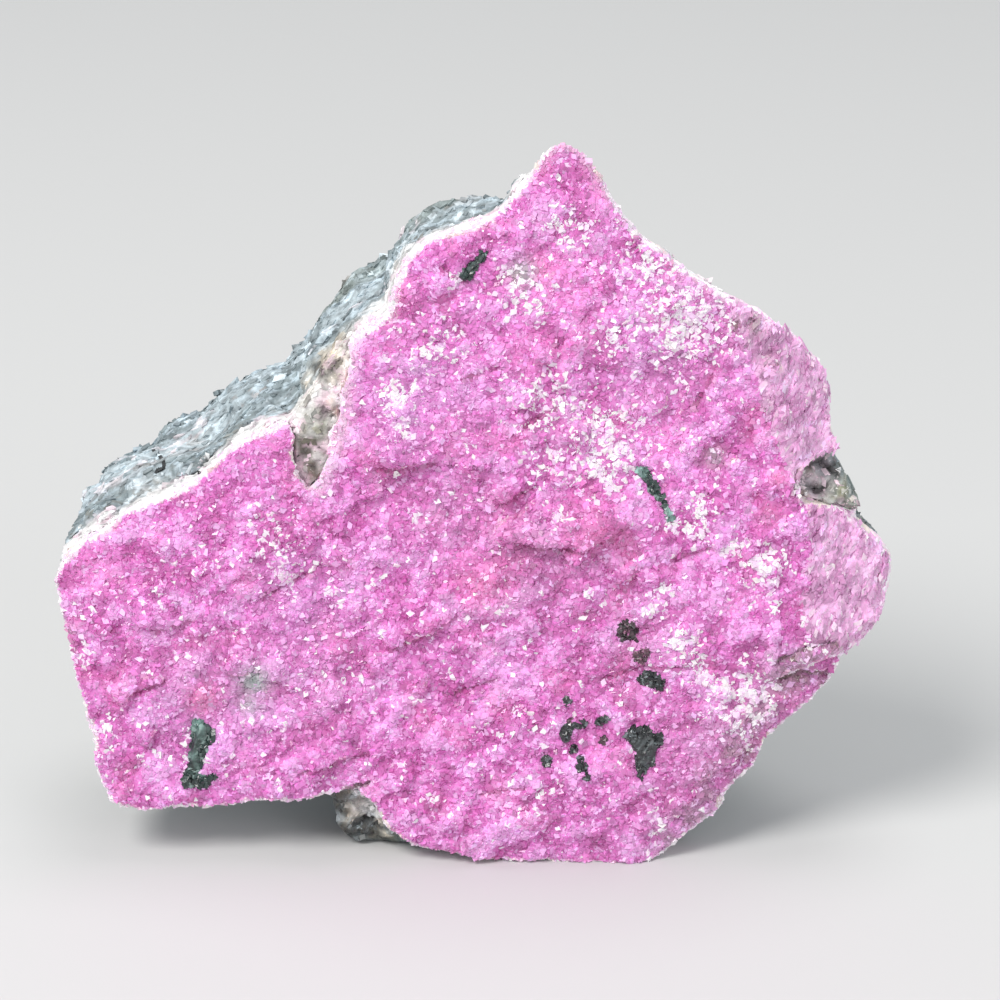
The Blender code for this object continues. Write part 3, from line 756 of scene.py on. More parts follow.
def pinkTint(points, turned, rng):
    # the height paints shade onto rhombs in hollows and highlight onto those on tops, with some random spread
    height = lumpHeight(points) + 0.5 * ledgeHeight(points)
    height += pinkTones["heightSpread"] * rng.normal(size=len(points))
    colour = druseTone(points, turned, height)
    # partly painted light: some rhombs are painted paler and every rhomb's tone spread, partly as painted
    # facet highlight and shade, partly real grain tone
    pale = (rng.random(len(points)) > pinkTones["paleFrom"]) * rng.random(len(points))
    pale *= 1 - bareShare(points)
    colour = mixColours(colour, drusePalette["pale"], pinkTones["pale"] * pale)
    colour = grainTone(colour, rng, pinkTones["toneSpread"])
    white = rng.random(len(points)) < overWhite(points, turned)
    return np.where(white[:, None], whiteTint(points, turned, rng), colour)


def whiteTint(points, turned, rng):
    colour = mixColours(drusePalette["white"], drusePalette["cream"], 0.5 * rng.random(len(points)) ** 2)
    return mixColours(colour, drusePalette["pale"], 0.8 * rng.random(len(points)) ** 2)


def overAll(points, turned):
    return 1 - 0.92 * bareShare(points)


def whiteTexture(points):
    strings = smoothStep(0.26, 0.03, np.abs(noiseAt(points, 1.5, 12.0)))
    specks = smoothStep(-0.02, 0.25, noiseAt(points, 0.75, 19.0))
    return np.maximum(0.1 + 0.9 * strings, specks)


def overWhite(points, turned):
    side = smoothStep(0.78, 0.45, -turned[:, 1])
    # more white rhombs on the sides, partly painted highlight of the bright rim
    edge = 0.55 * smoothStep(-0.1, 0.6, points[:, 1] + 0.3 * noiseAt(points, 1.5)) * side
    stray = smoothStep(0.1, 0.35, noiseAt(points, 0.7, 29.0))
    sprinkle = 0.004 + 0.16 * stray * smoothStep(0.0, 0.4, noiseAt(points, 3.2, 15.0))
    share = 1.5 * spotShare(points, whiteSpots) * whiteTexture(points) + sprinkle + edge
    return np.clip(share, 0, 1) * (1 - 0.9 * bareShare(points))


def nodeGroup(material):
    material.use_nodes = True
    return material.node_tree.nodes, material.node_tree.links


def addNode(nodes, kind, settings=None, **values):
    node = nodes.new(kind)
    for key, value in (settings or {}).items():
        setattr(node, key, value)
    for key, value in values.items():
        node.inputs[key].default_value = value
    return node


def drusyMaterial(name, attributeName, look):
    material = bpy.data.materials.new(name)
    nodes, links = nodeGroup(material)
    shader = nodes["Principled BSDF"]
    place = addNode(nodes, "ShaderNodeTexCoord")
    tint = addNode(nodes, "ShaderNodeAttribute", {"attribute_name": attributeName})
    mottle = addNode(nodes, "ShaderNodeTexNoise", Scale=look["mottleScale"], Detail=3.0, Roughness=0.6)
    fine = addNode(nodes, "ShaderNodeTexNoise", Scale=look["fineScale"], Detail=2.0)
    tones = {"From Min": 0.3, "From Max": 0.7, "To Min": look["darkest"], "To Max": look["lightest"]}
    spread = addNode(nodes, "ShaderNodeMapRange", **tones)
    shade = addNode(nodes, "ShaderNodeMix", {"data_type": "RGBA", "blend_type": "MULTIPLY"}, Factor=1.0)
    smoothest, roughest = look["roughness"]
    rough = addNode(nodes, "ShaderNodeMapRange", **{"To Min": smoothest, "To Max": roughest})
    bump = addNode(nodes, "ShaderNodeBump", Strength=look["bump"], Distance=look["bumpDistance"])
    links.new(place.outputs["Object"], mottle.inputs["Vector"])
    links.new(place.outputs["Object"], fine.inputs["Vector"])
    links.new(mottle.outputs["Fac"], spread.inputs["Value"])
    links.new(tint.outputs["Color"], shade.inputs["A"])
    links.new(spread.outputs["Result"], shade.inputs["B"])
    links.new(shade.outputs["Result"], shader.inputs["Base Color"])
    links.new(mottle.outputs["Fac"], rough.inputs["Value"])
    links.new(rough.outputs["Result"], shader.inputs["Roughness"])
    links.new(fine.outputs["Fac"], bump.inputs["Height"])
    links.new(bump.outputs["Normal"], shader.inputs["Normal"])
    shader.inputs["IOR"].default_value = look["ior"]
    shader.inputs["Subsurface Weight"].default_value = look["glow"]
    shader.inputs["Subsurface Radius"].default_value = look["glowRadius"]
    shader.inputs["Subsurface Scale"].default_value = look["glowDepth"]
    return material


# finishes: size of the mottle and of the fine grain, how they shade, gloss, and light let in
crustLook = {
    "mottleScale": 900.0, "fineScale": 3500.0, "darkest": 0.88, "lightest": 1.14,
    "roughness": (0.45, 0.75), "bump": 0.5, "bumpDistance": 0.0001, "ior": 1.6,
    "glow": 0.15, "glowRadius": (1.0, 0.35, 0.6), "glowDepth": 0.0006,
}
crystalLook = {
    "mottleScale": 1500.0, "fineScale": 6000.0, "darkest": 0.88, "lightest": 1.12,
    "roughness": (0.16, 0.42), "bump": 0.25, "bumpDistance": 0.00004, "ior": 1.66,
    "glow": 0.20, "glowRadius": (1.0, 0.45, 0.7), "glowDepth": 0.0004,
}
whiteLook = dict(crystalLook, roughness=(0.12, 0.35), glowRadius=(1.0, 0.75, 0.9))
rockLook = {
    "mottleScale": 1100.0, "fineScale": 4000.0, "darkest": 0.55, "lightest": 1.45,
    "roughness": (0.55, 0.9), "bump": 0.7, "bumpDistance": 0.00012, "ior": 1.5,
    "glow": 0.0, "glowRadius": (1.0, 1.0, 1.0), "glowDepth": 0.0003,
}
grainLook = {
    "mottleScale": 1600.0, "fineScale": 7000.0, "darkest": 0.5, "lightest": 1.8,
    "roughness": (0.22, 0.6), "bump": 0.5, "bumpDistance": 0.00005, "ior": 1.7,
    "glow": 0.0, "glowRadius": (1.0, 1.0, 1.0), "glowDepth": 0.0003,
}

crustMesh, grainLevels = filledCrust()
crust = makeCrust(crustMesh, crustSetup)
crust.data.materials.append(drusyMaterial("pinkDruse", "druseTint", crustLook))
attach(crust, "root")
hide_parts("dolomite_crust")
print("druse layer made:", len(crust.data.polygons), "faces")

pinkMaterial = drusyMaterial("pinkRhombs", "crystalTint", crystalLook)
whiteMaterial = drusyMaterial("whiteRhombs", "crystalTint", whiteLook)
pinkCover = {"where": overAll, "tint": pinkTint, "material": pinkMaterial}
whiteCover = {"where": overWhite, "tint": whiteTint, "material": whiteMaterial}
crystalPieces = {  # sizes in millimetres
    "fineTips": dict(pinkCover, form="tip", count=36000, sizes=(0.26, 0.52), seed=11),
    "pinkRhombs": dict(pinkCover, form="lying", count=15500, sizes=(0.20, 0.40), seed=13),
    "morePinkRhombs": dict(pinkCover, form="lying", count=8000, sizes=(0.24, 0.46), seed=14),
    "standingRhombs": dict(pinkCover, form="standing", count=8000, sizes=(0.22, 0.46), seed=16),
    "whiteRhombs": dict(whiteCover, form="lying", count=2600, sizes=(0.22, 0.46), seed=15),
}
for name, setup in crystalPieces.items():
    piece = makeCrystals(name, crust, setup)
    piece.data.materials.append(setup["material"])
    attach(piece, "root")
    print(name, "grown:", setup["count"])

bareChipSetup = {
    "edges": ((1.0, 0.0, 0.0), (0.35, 0.75, 0.0), (0.1, 0.1, 0.30)),
    "count": 1600,
    "sizes": (0.24, 0.50),
    "stretch": (1.1, 2.2),  # along the ridges
    "spread": 0.12,
    "turn": 0.30,
    "sink": 0.08,
    "toneSpread": 0.16,
    "seed": 17,
}


def overBare(points, turned):
    return bareShare(points)


def makeBareChips(setup):  # splintery plates on the broken facets, in rows along their ridges
    rng = np.random.default_rng(setup["seed"])
    spots, normals = druseSpots(crust, setup["count"], rng, overBare)
    points = toFace(spots)
    across = drawSizes(setup["sizes"], len(spots), rng)
    spots = spots - normals * (across * setup["sink"] / 1000)[:, None]
    shortest, longest = setup["stretch"]
    lengths = shortest + (longest - shortest) * rng.random(len(spots))
    ridge = fromFace(np.array(((math.cos(ridgeTurn), 0.0, math.sin(ridgeTurn)), (0.0, 0.0, 0.0))))
    ridge = (ridge[0] - ridge[1]) * 1000
    axes = tiltedAxes(normals, setup["spread"], rng)
    spins = setup["turn"] * rng.normal(size=len(spots))
    colours = grainTone(bareColour(points), rng, setup["toneSpread"])
    pale = (rng.random(len(points)) > 0.86) * rng.random(len(points))
    colours = mixColours(colours, drusePalette["rim"], pale)
    stain = spotShare(points, stainSpots) * smoothStep(-0.35, 0.1, noiseAt(points, 0.7, 23.0))
    colours = mixColours(colours, drusePalette["stain"], stain)
    colours = mixColours(colours, drusePalette["grey"], spotShare(points, greySpots))
    form = (rhombCorners(setup["edges"]), rhombFaces)
    mesh = crystalMesh("bareChips", form, spots, axes, spins, across, lengths, colours, along=ridge)
    return newPiece("bareChips", mesh)


bareChips = makeBareChips(bareChipSetup)
bareChips.data.materials.append(pinkMaterial)
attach(bareChips, "root")
print("broken facets covered")

# grey rock behind the druse
rockPalette = {
    "grey": (0.39, 0.465, 0.51),
    "light": (0.72, 0.81, 0.86),
    "dark": (0.15, 0.185, 0.19),
    "white": (0.84, 0.82, 0.81),
    "cream": (0.76, 0.66, 0.53),
    "rust": (0.46, 0.24, 0.15),
    "olive": (0.20, 0.18, 0.145),
    "moss": (0.30, 0.31, 0.20),
    "blush": (0.80, 0.58, 0.68),
    "vein": (0.80, 0.72, 0.76),
    "black": (0.035, 0.035, 0.035),
}
rockSpots = {  # colour: spots (x, z, radius, strength)
    # the white and cream spots low on the foot, below z 6, are partly painted highlight on its upper side,
    # partly pale streaks
    "white": (
        (-7.3, 43.3, 2.2, 0.95), (-8.7, 4.6, 0.8, 1.1), (-8.2, 3.8, 0.6, 1.0), (-9.2, 3.8, 0.5, 0.9),
        (-6.0, 45.9, 1.2, 0.8), (-24.6, 27.9, 1.4, 0.4), (-11.9, 36.4, 0.7, 0.7), (-8.2, 5.4, 0.6, 0.9),
        (26.8, 29.3, 0.5, 0.6),
    ),
    "cream": (
        (-10.9, 39.5, 1.5, 0.9), (-11.6, 38.4, 1.3, 0.8), (-12.9, 36.9, 0.9, 0.6), (-9.3, 3.4, 0.7, 1.0),
        (-8.9, 4.2, 0.5, 0.8), (-7.6, 2.9, 0.5, 0.7), (-7.4, 4.4, 0.8, 0.8), (-7.0, 1.6, 0.5, 0.5),
    ),
    "rust": (
        (-12.6, 39.3, 0.8, 0.7), (-13.4, 40.6, 0.8, 0.7), (24.3, 28.1, 0.6, 0.8), (-11.2, 36.2, 0.5, 0.7),
        (-10.6, 35.2, 0.5, 0.6), (24.9, 27.8, 0.5, 0.6),
    ),
    # the black spots low on the foot and in the slot are partly painted shade in their low parts and
    # crevices, partly dark grains
    "black": (
        (-10.9, 4.7, 0.7, 0.9), (-10.6, 3.6, 0.4, 0.7), (-9.7, 1.9, 0.35, 0.7), (-8.5, 2.3, 0.35, 0.8),
        (-7.6, 1.9, 0.3, 0.8), (-9.0, 1.2, 0.3, 0.6), (-10.1, 0.8, 0.35, 0.6), (-8.0, 0.7, 0.3, 0.6),
        (26.9, 30.6, 0.35, 0.8), (25.9, 28.6, 0.3, 0.8), (28.0, 28.0, 0.3, 0.6), (-11.2, 37.4, 0.35, 0.7),
        (-12.4, 37.6, 0.3, 0.7), (-9.8, 40.6, 0.3, 0.6), (-12.7, 32.4, 0.5, 0.55), (-12.2, 31.0, 0.4, 0.6),
    ),
    "olive": (
        (-10.6, 4.4, 1.0, 0.95), (-10.2, 3.0, 0.8, 0.9), (-9.9, 5.4, 0.7, 0.8),
        (-11.4, 38.6, 0.7, 0.8), (-10.6, 38.0, 0.6, 0.8), (-12.4, 32.6, 1.7, 0.9), (-12.5, 30.8, 1.5, 0.95),
        (-10.6, 4.6, 1.3, 0.9), (-10.4, 2.2, 1.2, 0.7), (-8.3, 1.2, 1.2, 0.7), (25.4, 30.3, 0.7, 0.7),
    ),
    "moss": ((-12.2, 34.6, 1.2, 0.6), (27.6, 28.6, 1.1, 0.8), (28.2, 27.4, 0.9, 0.8), (-6.6, 1.0, 1.0, 0.5)),
    "blush": (
        (25.4, 31.6, 1.0, 0.8), (25.2, 29.4, 0.7, 0.6), (26.2, 30.4, 0.6, 0.5), (-9.9, 34.8, 0.5, 0.9),
        (-9.8, 36.3, 0.6, 0.9), (-9.5, 37.6, 0.5, 0.8), (-13.6, 34.2, 0.4, 0.6), (-12.6, 39.6, 0.6, 0.5),
    ),
}
rockCracks = (
    ((24.5, 31.0), (25.2, 30.6), (26.2, 30.9)), ((25.0, 29.0), (26.0, 28.6), (26.8, 29.4)),
    ((-9.4, 2.4), (-8.4, 2.7), (-7.4, 2.2)), ((-9.8, 1.4), (-8.6, 1.6), (-7.0, 0.9)),
    ((-10.4, 2.2), (-9.6, 0.9)), ((-11.6, 35.4), (-10.8, 34.8)),
    ((-12.2, 37.6), (-11.0, 38.2), (-10.2, 39.0)), ((26.2, 30.6), (27.2, 29.8)),
)
rockSetup = {  # heights and depths in millimetres
    "voxel": 0.34,
    "smoothing": 1,
    "chips": 0.42,
    "splinters": 0.20,
    "grit": 0.10,
    "breaks": 1.2,  # large chips of the back
    "crumbs": 0.85,  # of the rock that shows through the druse's openings
    "standOut": 1.3,  # how far that rock stands forward
    "crackDepth": 0.5,
    "wornFoot": 1.2,  # how far the foot's lower edge is worn back
    "contact": 0.45,  # how far the rock reaches to the druse
    "drawnIn": 0.9,  # upper right edge
}
crustTree = surfaceTree(crust)


seamDepth = 5.5  # the druse hides no rock deeper than this behind the face


def underDruse(coords):  # 1 where the druse lies straight in front
    outward, reach = -intoRock, 0.008
    starts = (coords + 0.002 * np.array(intoRock)).tolist()
    hits = [crustTree.ray_cast(Vector(start), outward, reach)[0] for start in starts]
    return np.array([hit is not None for hit in hits], float)


def againstDruse(mesh):
    coords = readCoords(mesh)
    points, turned = toFace(coords), turnToFace(readNormals(mesh))
    facing = (turned[:, 1] < -0.5) & (points[:, 1] < seamDepth)
    covered = np.zeros(len(coords))
    covered[facing] = underDruse(coords[facing])
    return covered


def makeRock(setup):
    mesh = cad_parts["matrix_rock"].data.copy()
    piece = remeshedCopy(mesh, "matrixRock", setup["voxel"], setup["smoothing"])
    thinOut(piece, againstDruse(piece.data))
    mesh = piece.data
    coords, normals = readCoords(mesh), readNormals(mesh)
    points, turned = toFace(coords), turnToFace(normals)
    shown = 1 - againstDruse(mesh)
    openings = shown * smoothStep(-0.2, -0.6, turned[:, 1]) * smoothStep(6.0, 4.5, points[:, 1])
    rise = setup["chips"] * chipsAt(points, 2.6) + setup["splinters"] * chipsAt(points, 1.0, 4.0)
    rise += setup["grit"] * noiseAt(points, 0.55, 6.0)
    rise += openings * setup["crumbs"] * (chipsAt(points, 1.3, 8.0) + 0.4 * noiseAt(points, 0.6, 15.0))
    behind = smoothStep(0.1, 0.6, turned[:, 1]) * smoothStep(5.0, 9.0, points[:, 1])
    breaks = setup["breaks"] * chipsAt(points, 6.5, 12.0)
    breaks += 0.5 * setup["breaks"] * noiseAt(points, 9.0, 5.0)
    rise += behind * breaks
    foot = footShare(points)
    rise += foot * (0.5 * noiseAt(points, 2.2, 11.0) + 0.35 * chipsAt(points, 1.4, 13.0))
    rise *= smoothStep(0.0, 0.8, coords[:, 2] * 1000) * (1 - 0.6 * contactShare(points))
    coords += normals * (rise / 1000)[:, None]
    forward = setup["standOut"] * openings * smoothStep(44.0, 38.0, points[:, 2])
    forward -= setup["crackDepth"] * openings * strokeShare(points, rockCracks, 0.3)
    rounded = np.clip(1 - coords[:, 2] / 0.0014, 0, 1) ** 2  # the foot's edge is worn round
    forward -= setup["wornFoot"] * shown * smoothStep(-0.2, -0.6, turned[:, 1]) * rounded
    forward += setup["contact"] * (1 - shown)
    coords -= np.array(intoRock) * (forward / 1000)[:, None]
    shaped = toFace(coords)
    near = smoothStep(10.0, 5.0, shaped[:, 1])
    drawnIn = near * smoothStep(22.0, 28.0, shaped[:, 0]) * smoothStep(30.5, 34.0, shaped[:, 2])
    coords[:, 0] += (roundedFoot(shaped) - setup["drawnIn"] * drawnIn) / 1000
    coords[:, 2] = np.maximum(coords[:, 2], 0)
    writeCoords(mesh, coords)
    mesh.shade_flat()
    paintPoints(mesh, "rockTint", rockTone(points))
    return piece


def footShare(points):
    across = smoothStep(-14.0, -12.0, points[:, 0]) * smoothStep(-3.0, -5.0, points[:, 0])
    return across * smoothStep(8.0, 6.0, points[:, 2]) * smoothStep(7.0, 5.0, points[:, 1])


def roundedFoot(points):  # how far the foot's lower left corner is worn in
    lift = np.clip(1 - points[:, 2] / 5.5, 0, 1)
    left = -7.9 - 3.4 * np.sqrt(np.maximum(1 - lift ** 2, 0))
    near = smoothStep(9.0, 5.0, points[:, 1]) * (points[:, 2] < 5.5) * (points[:, 0] > -14.0)
    return near * 0.9 * np.maximum(left - points[:, 0], 0)


def contactShare(points):  # the pale seam where the druse sits on the rock
    seam = smoothStep(1.9, 0.3, points[:, 1] - 2.9 + 1.0 * noiseAt(points, 1.2, 9.0))
    return seam * smoothStep(18, 24, points[:, 2])


def rockTone(points, lean=0.0):
    palette = rockPalette
    mottle = 0.8 * noiseAt(points, 3.5, 3.0) + 0.35 * noiseAt(points, 1.1, 5.0)
    speckle = 0.9 * cellTone(points, 0.75, 5.0) + 0.4 * cellTone(points, 0.42, 2.0) - 0.65 + lean
    colour = mixColours(palette["grey"], palette["light"], 0.8 * smoothStep(0.0, 0.8, mottle + speckle))
    colour = mixColours(colour, palette["dark"], 0.7 * smoothStep(0.15, 0.8, -mottle - speckle))
    behind = smoothStep(7.0, 11.0, points[:, 1])
    broad = noiseAt(points, 9.0, 41.0)
    colour = mixColours(colour, palette["light"], 0.4 * behind * smoothStep(0.0, 0.5, broad))
    colour = mixColours(colour, palette["moss"], 0.22 * behind * smoothStep(0.1, 0.5, -broad))
    rusty = 0.3 * behind * smoothStep(0.2, 0.6, noiseAt(points, 5.5, 47.0) + 0.5 * noiseAt(points, 0.7, 48.0))
    colour = mixColours(colour, palette["rust"], rusty)
    veins = smoothStep(0.035, 0.0, np.abs(noiseAt(points, 8.0, 52.0) + 0.12 * noiseAt(points, 1.5, 6.0)))
    colour = mixColours(colour, palette["vein"], 0.75 * behind * veins)
    colour = mixColours(colour, palette["white"], 0.8 * contactShare(points))
    blotch = 0.55 + 0.8 * smoothStep(-0.3, 0.3, noiseAt(points, 0.8, 14.0))
    near = smoothStep(8.5, 5.0, points[:, 1])
    # on the foot and in the slot the black spots are partly painted shade and the white and cream ones partly
    # painted highlight
    for name in ("olive", "moss", "blush", "cream", "rust", "white", "black"):
        share = np.clip(spotShare(points, rockSpots[name]) * blotch * near, 0, 1)
        colour = mixColours(colour, palette[name], share)
    crumbs = 0.55 * near * smoothStep(0.05, 0.45, noiseAt(points, 0.5, 33.0)) * (1 - contactShare(points))
    colour = mixColours(colour, palette["olive"], crumbs)
    seam = contactShare(points) * smoothStep(0.0, 0.35, noiseAt(points, 1.0, 37.0))
    colour = mixColours(colour, palette["blush"], 0.7 * seam)
    return mixColours(colour, palette["black"], 0.8 * near * strokeShare(points, rockCracks, 0.28))


rock = makeRock(rockSetup)
rock.data.materials.append(drusyMaterial("greyRock", "rockTint", rockLook))
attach(rock, "root")
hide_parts("matrix_rock")
print("grey rock made:", len(rock.data.polygons), "faces")

rockGrainSetup = {
    "sizes": (0.34, 0.80),
    "openSize": 0.62,  # how much smaller they are in the druse's openings
    "spread": 0.13,
    "sink": 0.08,
    "lengths": (0.8, 0.8),
    "toneLean": 0.35,  # how far a grain's tone strays from the rock's at its place
    "toneSpread": 0.12,
    "openToneSpread": 0.30,
    "lowChip": (1, 1, 0.55),
    "plateEdges": ((1.0, 0.0, 0.0), (0.3, 0.8, 0.0), (0.12, 0.10, 0.42)),
}
rockChipForm = (tipCorners(crystalSetup) * np.array(rockGrainSetup["lowChip"]), tipFaces)
rockPlateForm = (rhombCorners(rockGrainSetup["plateEdges"]), rhombFaces)
rockGrainPieces = {
    "rockChips": {"form": rockChipForm, "count": 19000, "seed": 31},
    "rockPlates": {"form": rockPlateForm, "count": 5200, "seed": 32},
}


def makeRockGrains(name, kind, setup):
    rng = np.random.default_rng(kind["seed"])
    count = kind["count"]

    def keep(spots, normals):  # wherever the rock shows and doesn't face down
        points, turned = toFace(spots), turnToFace(normals)
        covered = np.zeros(len(spots))
        facing = (turned[:, 1] < -0.4) & (points[:, 1] < seamDepth)
        covered[facing] = underDruse(spots[facing])
        chance = (1 - covered) * smoothStep(-0.95, -0.6, normals[:, 2]) * (spots[:, 2] > 0.0004)
        return rng.random(len(spots)) < chance

    spots, normals = gatherSpots(rock, count, count * 2, rng, keep)
    across = drawSizes(setup["sizes"], len(spots), rng)
    opened = (turnToFace(normals)[:, 1] < -0.3) & (toFace(spots)[:, 1] < 6.5)
    across *= np.where(opened, setup["openSize"], 1.0)
    axes = tiltedAxes(normals, setup["spread"], rng)
    spots = spots - normals * (across * setup["sink"] / 1000)[:, None]
    colour = rockTone(toFace(spots), setup["toneLean"] * rng.normal(size=len(spots)))
    spins = rng.random(len(spots)) * math.tau
    shortest, more = setup["lengths"]
    lengths = shortest + more * rng.random(len(spots))
    colour = grainTone(colour, rng, np.where(opened, setup["openToneSpread"], setup["toneSpread"]))
    return newPiece(name, crystalMesh(name, kind["form"], spots, axes, spins, across, lengths, colour))


chipMaterial = drusyMaterial("rockChips", "crystalTint", dict(rockLook, roughness=(0.35, 0.8)))
for name, kind in rockGrainPieces.items():
    rockGrains = makeRockGrains(name, kind, rockGrainSetup)
    rockGrains.data.materials.append(chipMaterial)
    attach(rockGrains, "root")
print("rock grains made")

# dark grains; the malachite is paler at some spots: (x, z, radius, strength)
greenSpots = (
    (12.2, 31.1, 0.45, 0.9), (14.6, 27.7, 0.5, 0.7), (-21.2, 11.0, 0.5, 0.5),
    (-20.9, 7.3, 0.3, 0.5), (-21.6, 8.6, 0.3, 0.4),
)
grainPalette = {
    "malachite": ((0.008, 0.020, 0.018), (0.040, 0.072, 0.064), (0.21, 0.29, 0.27)),
    "heterogenite": ((0.008, 0.009, 0.010), (0.035, 0.042, 0.045), (0.16, 0.19, 0.20)),
    "umber": ((0.015, 0.010, 0.012), (0.075, 0.045, 0.055), (0.26, 0.15, 0.20)),
    "plum": ((0.04, 0.018, 0.028), (0.13, 0.06, 0.085), (0.36, 0.16, 0.25)),
}
paleMalachite = (0.30, 0.50, 0.45)
darkGrainSetup = {  # heights in millimetres
    "voxel": 0.11,
    "smoothing": 1,
    "proud": 0.16,  # how far a grain stands out of the druse
    "angles": 0.22,
    "grit": 0.10,
    "buried": 0.8,  # how deep what lies outside its outline is sunk
    "hollow": 0.35,  # of a grain that is a ring of crystals
    "streaks": 0.4,
}


def grainTint(points, kind, rng):
    dark, mid, light = grainPalette[kind]
    colour = mixColours(dark, mid, rng.random(len(points)) ** 1.5)
    colour = mixColours(colour, light, (rng.random(len(points)) > 0.86) * 0.7)
    return paleGreen(points, colour) if kind == "malachite" else colour


def paleGreen(points, colour):
    return mixColours(colour, paleMalachite, spotShare(points, greenSpots))


def makeGrain(nodeName, pieceName, kind, seed, setup):
    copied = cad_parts[nodeName].data.copy()
    piece = remeshedCopy(copied, pieceName, setup["voxel"], setup["smoothing"])
    mesh = piece.data
    points, turned = toFace(readCoords(mesh)), turnToFace(readNormals(mesh))
    proud = setup["proud"] + setup["angles"] * chipsAt(points, 0.5, seed)
    proud += setup["grit"] * noiseAt(points, 0.25, seed)
    if nodeName in grainOutlines:
        proud -= setup["buried"] * ~insideOutline(points, grainOutlines[nodeName])
    else:
        out = points - points.mean(axis=0)
        proud -= setup["hollow"] * smoothStep(0.35, 0.1, np.hypot(out[:, 0], out[:, 2]))
    front = smoothStep(0.0, 0.4, -turned[:, 1])
    surface = np.maximum(points[:, 1], grainLevels[nodeName] - proud)
    points[:, 1] += front * (surface - points[:, 1])
    writeCoords(mesh, fromFace(points))
    shade = smoothStep(-0.3, 0.4, noiseAt(points, 0.4, 2.0))
    dark, mid, light = grainPalette[kind]
    streaks = smoothStep(0.1, 0.45, noiseAt(rowsAt(points, math.radians(60), 0.9, 0.22), 1.0, 5.0))
    colour = mixColours(mixColours(dark, mid, shade), light, setup["streaks"] * streaks)
    paintPoints(mesh, "grainTint", paleGreen(points, colour) if kind == "malachite" else colour)
    mesh.shade_flat()
    return piece


grainMaterials = {
    "malachite": drusyMaterial("darkMalachite", "grainTint", grainLook),
    "heterogenite": drusyMaterial("blackHeterogenite", "grainTint", grainLook),
}
for seed, (nodeName, pieceName) in enumerate(grainNames.items()):
    kind = nodeName.split("_")[0]
    tone = "umber" if nodeName == "heterogenite_grain" else kind
    piece = makeGrain(nodeName, pieceName, tone, 1.0 + seed, darkGrainSetup)
    piece.data.materials.append(grainMaterials[kind])
    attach(piece, "root")
    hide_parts(nodeName)


def makeGrit(name, setup):
    rng = np.random.default_rng(setup["seed"])
    count = setup["count"]

    def keep(spots, normals):
        points, turned = toFace(spots), turnToFace(normals)
        chosen = np.zeros(len(points), bool)
        for outlineName in setup["outlines"]:
            chosen |= insideOutline(points, grainOutlines[outlineName])
        for x, z, radius in setup["dots"]:
            chosen |= np.hypot(points[:, 0] - x, points[:, 2] - z) < radius
        return chosen & (points[:, 1] < 2.0) & (turned[:, 1] < 0.3)

    spots, normals = gatherSpots(crust, count, 60000, rng, keep)
    across = drawSizes(setup["sizes"], count, rng, lean=1.6)
    axes = tiltedAxes(normals, gritSpread, rng)
    lengths = 1 + setup["stretch"] * rng.random(count)
    colours = grainTint(toFace(spots), setup["colour"], rng)
    spins = rng.random(count) * math.tau
    mesh = crystalMesh(name, standingForm, spots, axes, spins, across, lengths, colours)
    return newPiece(name, mesh)


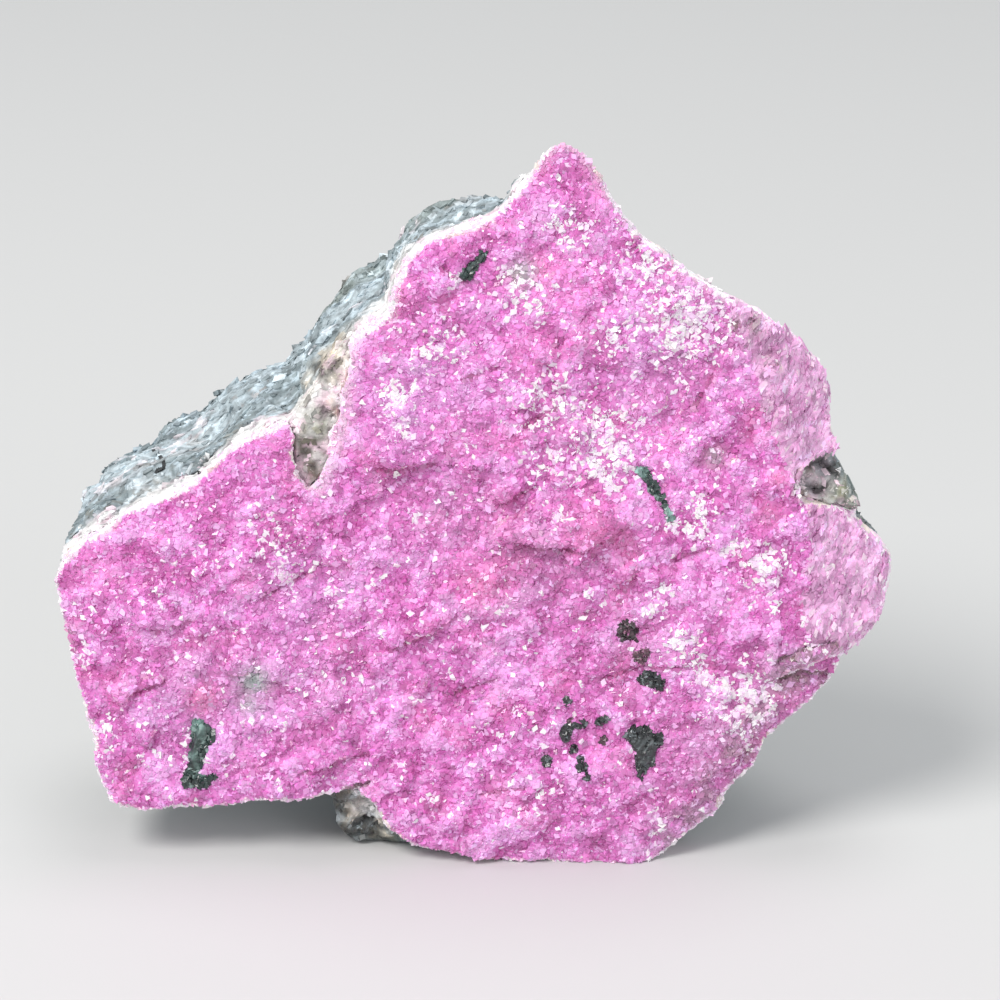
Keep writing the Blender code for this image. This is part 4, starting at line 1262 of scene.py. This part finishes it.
darkLook = dict(grainLook, roughness=(0.15, 0.45))
darkMaterial = drusyMaterial("darkRhombs", "crystalTint", darkLook)
gritSpread = 0.5  # how far the grit's crystals lean
gritPieces = {  # small crystals in the grains' outlines and dots
    "blackGrit": {
        "outlines": ("heterogenite_knot", "heterogenite_patch", "heterogenite_chain"),
        "dots": blackDots,
        "colour": "heterogenite",
        "count": 2000,
        "sizes": (0.14, 0.36),
        "stretch": 0.5,
        "seed": 21,
        "slot": "heterogenite",
    },
    "umberGrit": {
        "outlines": (),
        "dots": umberDots,
        "colour": "umber",
        "count": 260,
        "sizes": (0.14, 0.32),
        "stretch": 0.4,
        "seed": 24,
        "slot": "heterogenite",
    },
    "plumGrit": {
        "outlines": (),
        "dots": plumDots,
        "colour": "plum",
        "count": 260,
        "sizes": (0.13, 0.32),
        "stretch": 0.3,
        "seed": 23,
        "slot": "heterogenite",
    },
    "greenSplinters": {
        "outlines": ("malachite_blade", "blade_chip", "malachite_sliver", "malachite_splinter"),
        "dots": (),
        "colour": "malachite",
        "count": 800,
        "sizes": (0.14, 0.36),
        "stretch": 1.2,
        "seed": 22,
        "slot": "malachite",
    },
}
for name, setup in gritPieces.items():
    piece = makeGrit(name, setup)
    piece.data.materials.append(darkMaterial)
    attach(piece, "root")

# two thin curved black slivers on the rock above the left wing
sliverSetup = {
    "chains": (  # three points (x, y, z) of each, in millimetres
        ((-25.3, 6.1, 26.7), (-24.7, 4.0, 27.1), (-24.2, 1.7, 27.6)),
        ((-24.06, 1.2, 27.7), (-23.95, -1.0, 28.1), (-24.5, -2.4, 28.4)),
    ),
    "steps": 5,  # crystals between two points
    "size": 0.26,
    "stretch": 2.4,
}


def makeRockSlivers(setup):
    tree = surfaceTree(rock)
    elevation = math.radians(cameraSetup["elevation"])
    away = Vector((0, -math.cos(elevation), math.sin(elevation)))
    spots, axes, runs = [], [], []
    for chain in setup["chains"]:
        for start, end in zip(chain[:-1], chain[1:]):
            for share in np.linspace(0, 1, setup["steps"]):
                near = Vector(start).lerp(Vector(end), float(share)) / 1000
                place, normal = tree.ray_cast(near + away * 0.006, -away, 0.02)[:2]
                if place is not None:
                    spots.append(place[:])
                    axes.append(normal[:])
                    runs.append((Vector(end) - Vector(start)).normalized()[:])
    count = len(spots)
    sizes, lengths = np.full(count, setup["size"]), np.full(count, setup["stretch"])
    colours = np.tile(grainPalette["heterogenite"][0], (count, 1))
    mesh = crystalMesh(
        "rockSlivers", lyingForm, np.array(spots), np.array(axes), np.zeros(count), sizes, lengths, colours,
        along=np.array(runs),
    )
    return newPiece("rockSlivers", mesh)


slivers = makeRockSlivers(sliverSetup)
slivers.data.materials.append(darkMaterial)
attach(slivers, "root")
print("dark grains made")

shown = [piece for piece in bpy.data.objects if piece.type == "MESH"]
for piece in shown:
    print(piece.name, sum(len(face.vertices) - 2 for face in piece.data.polygons), "triangles")
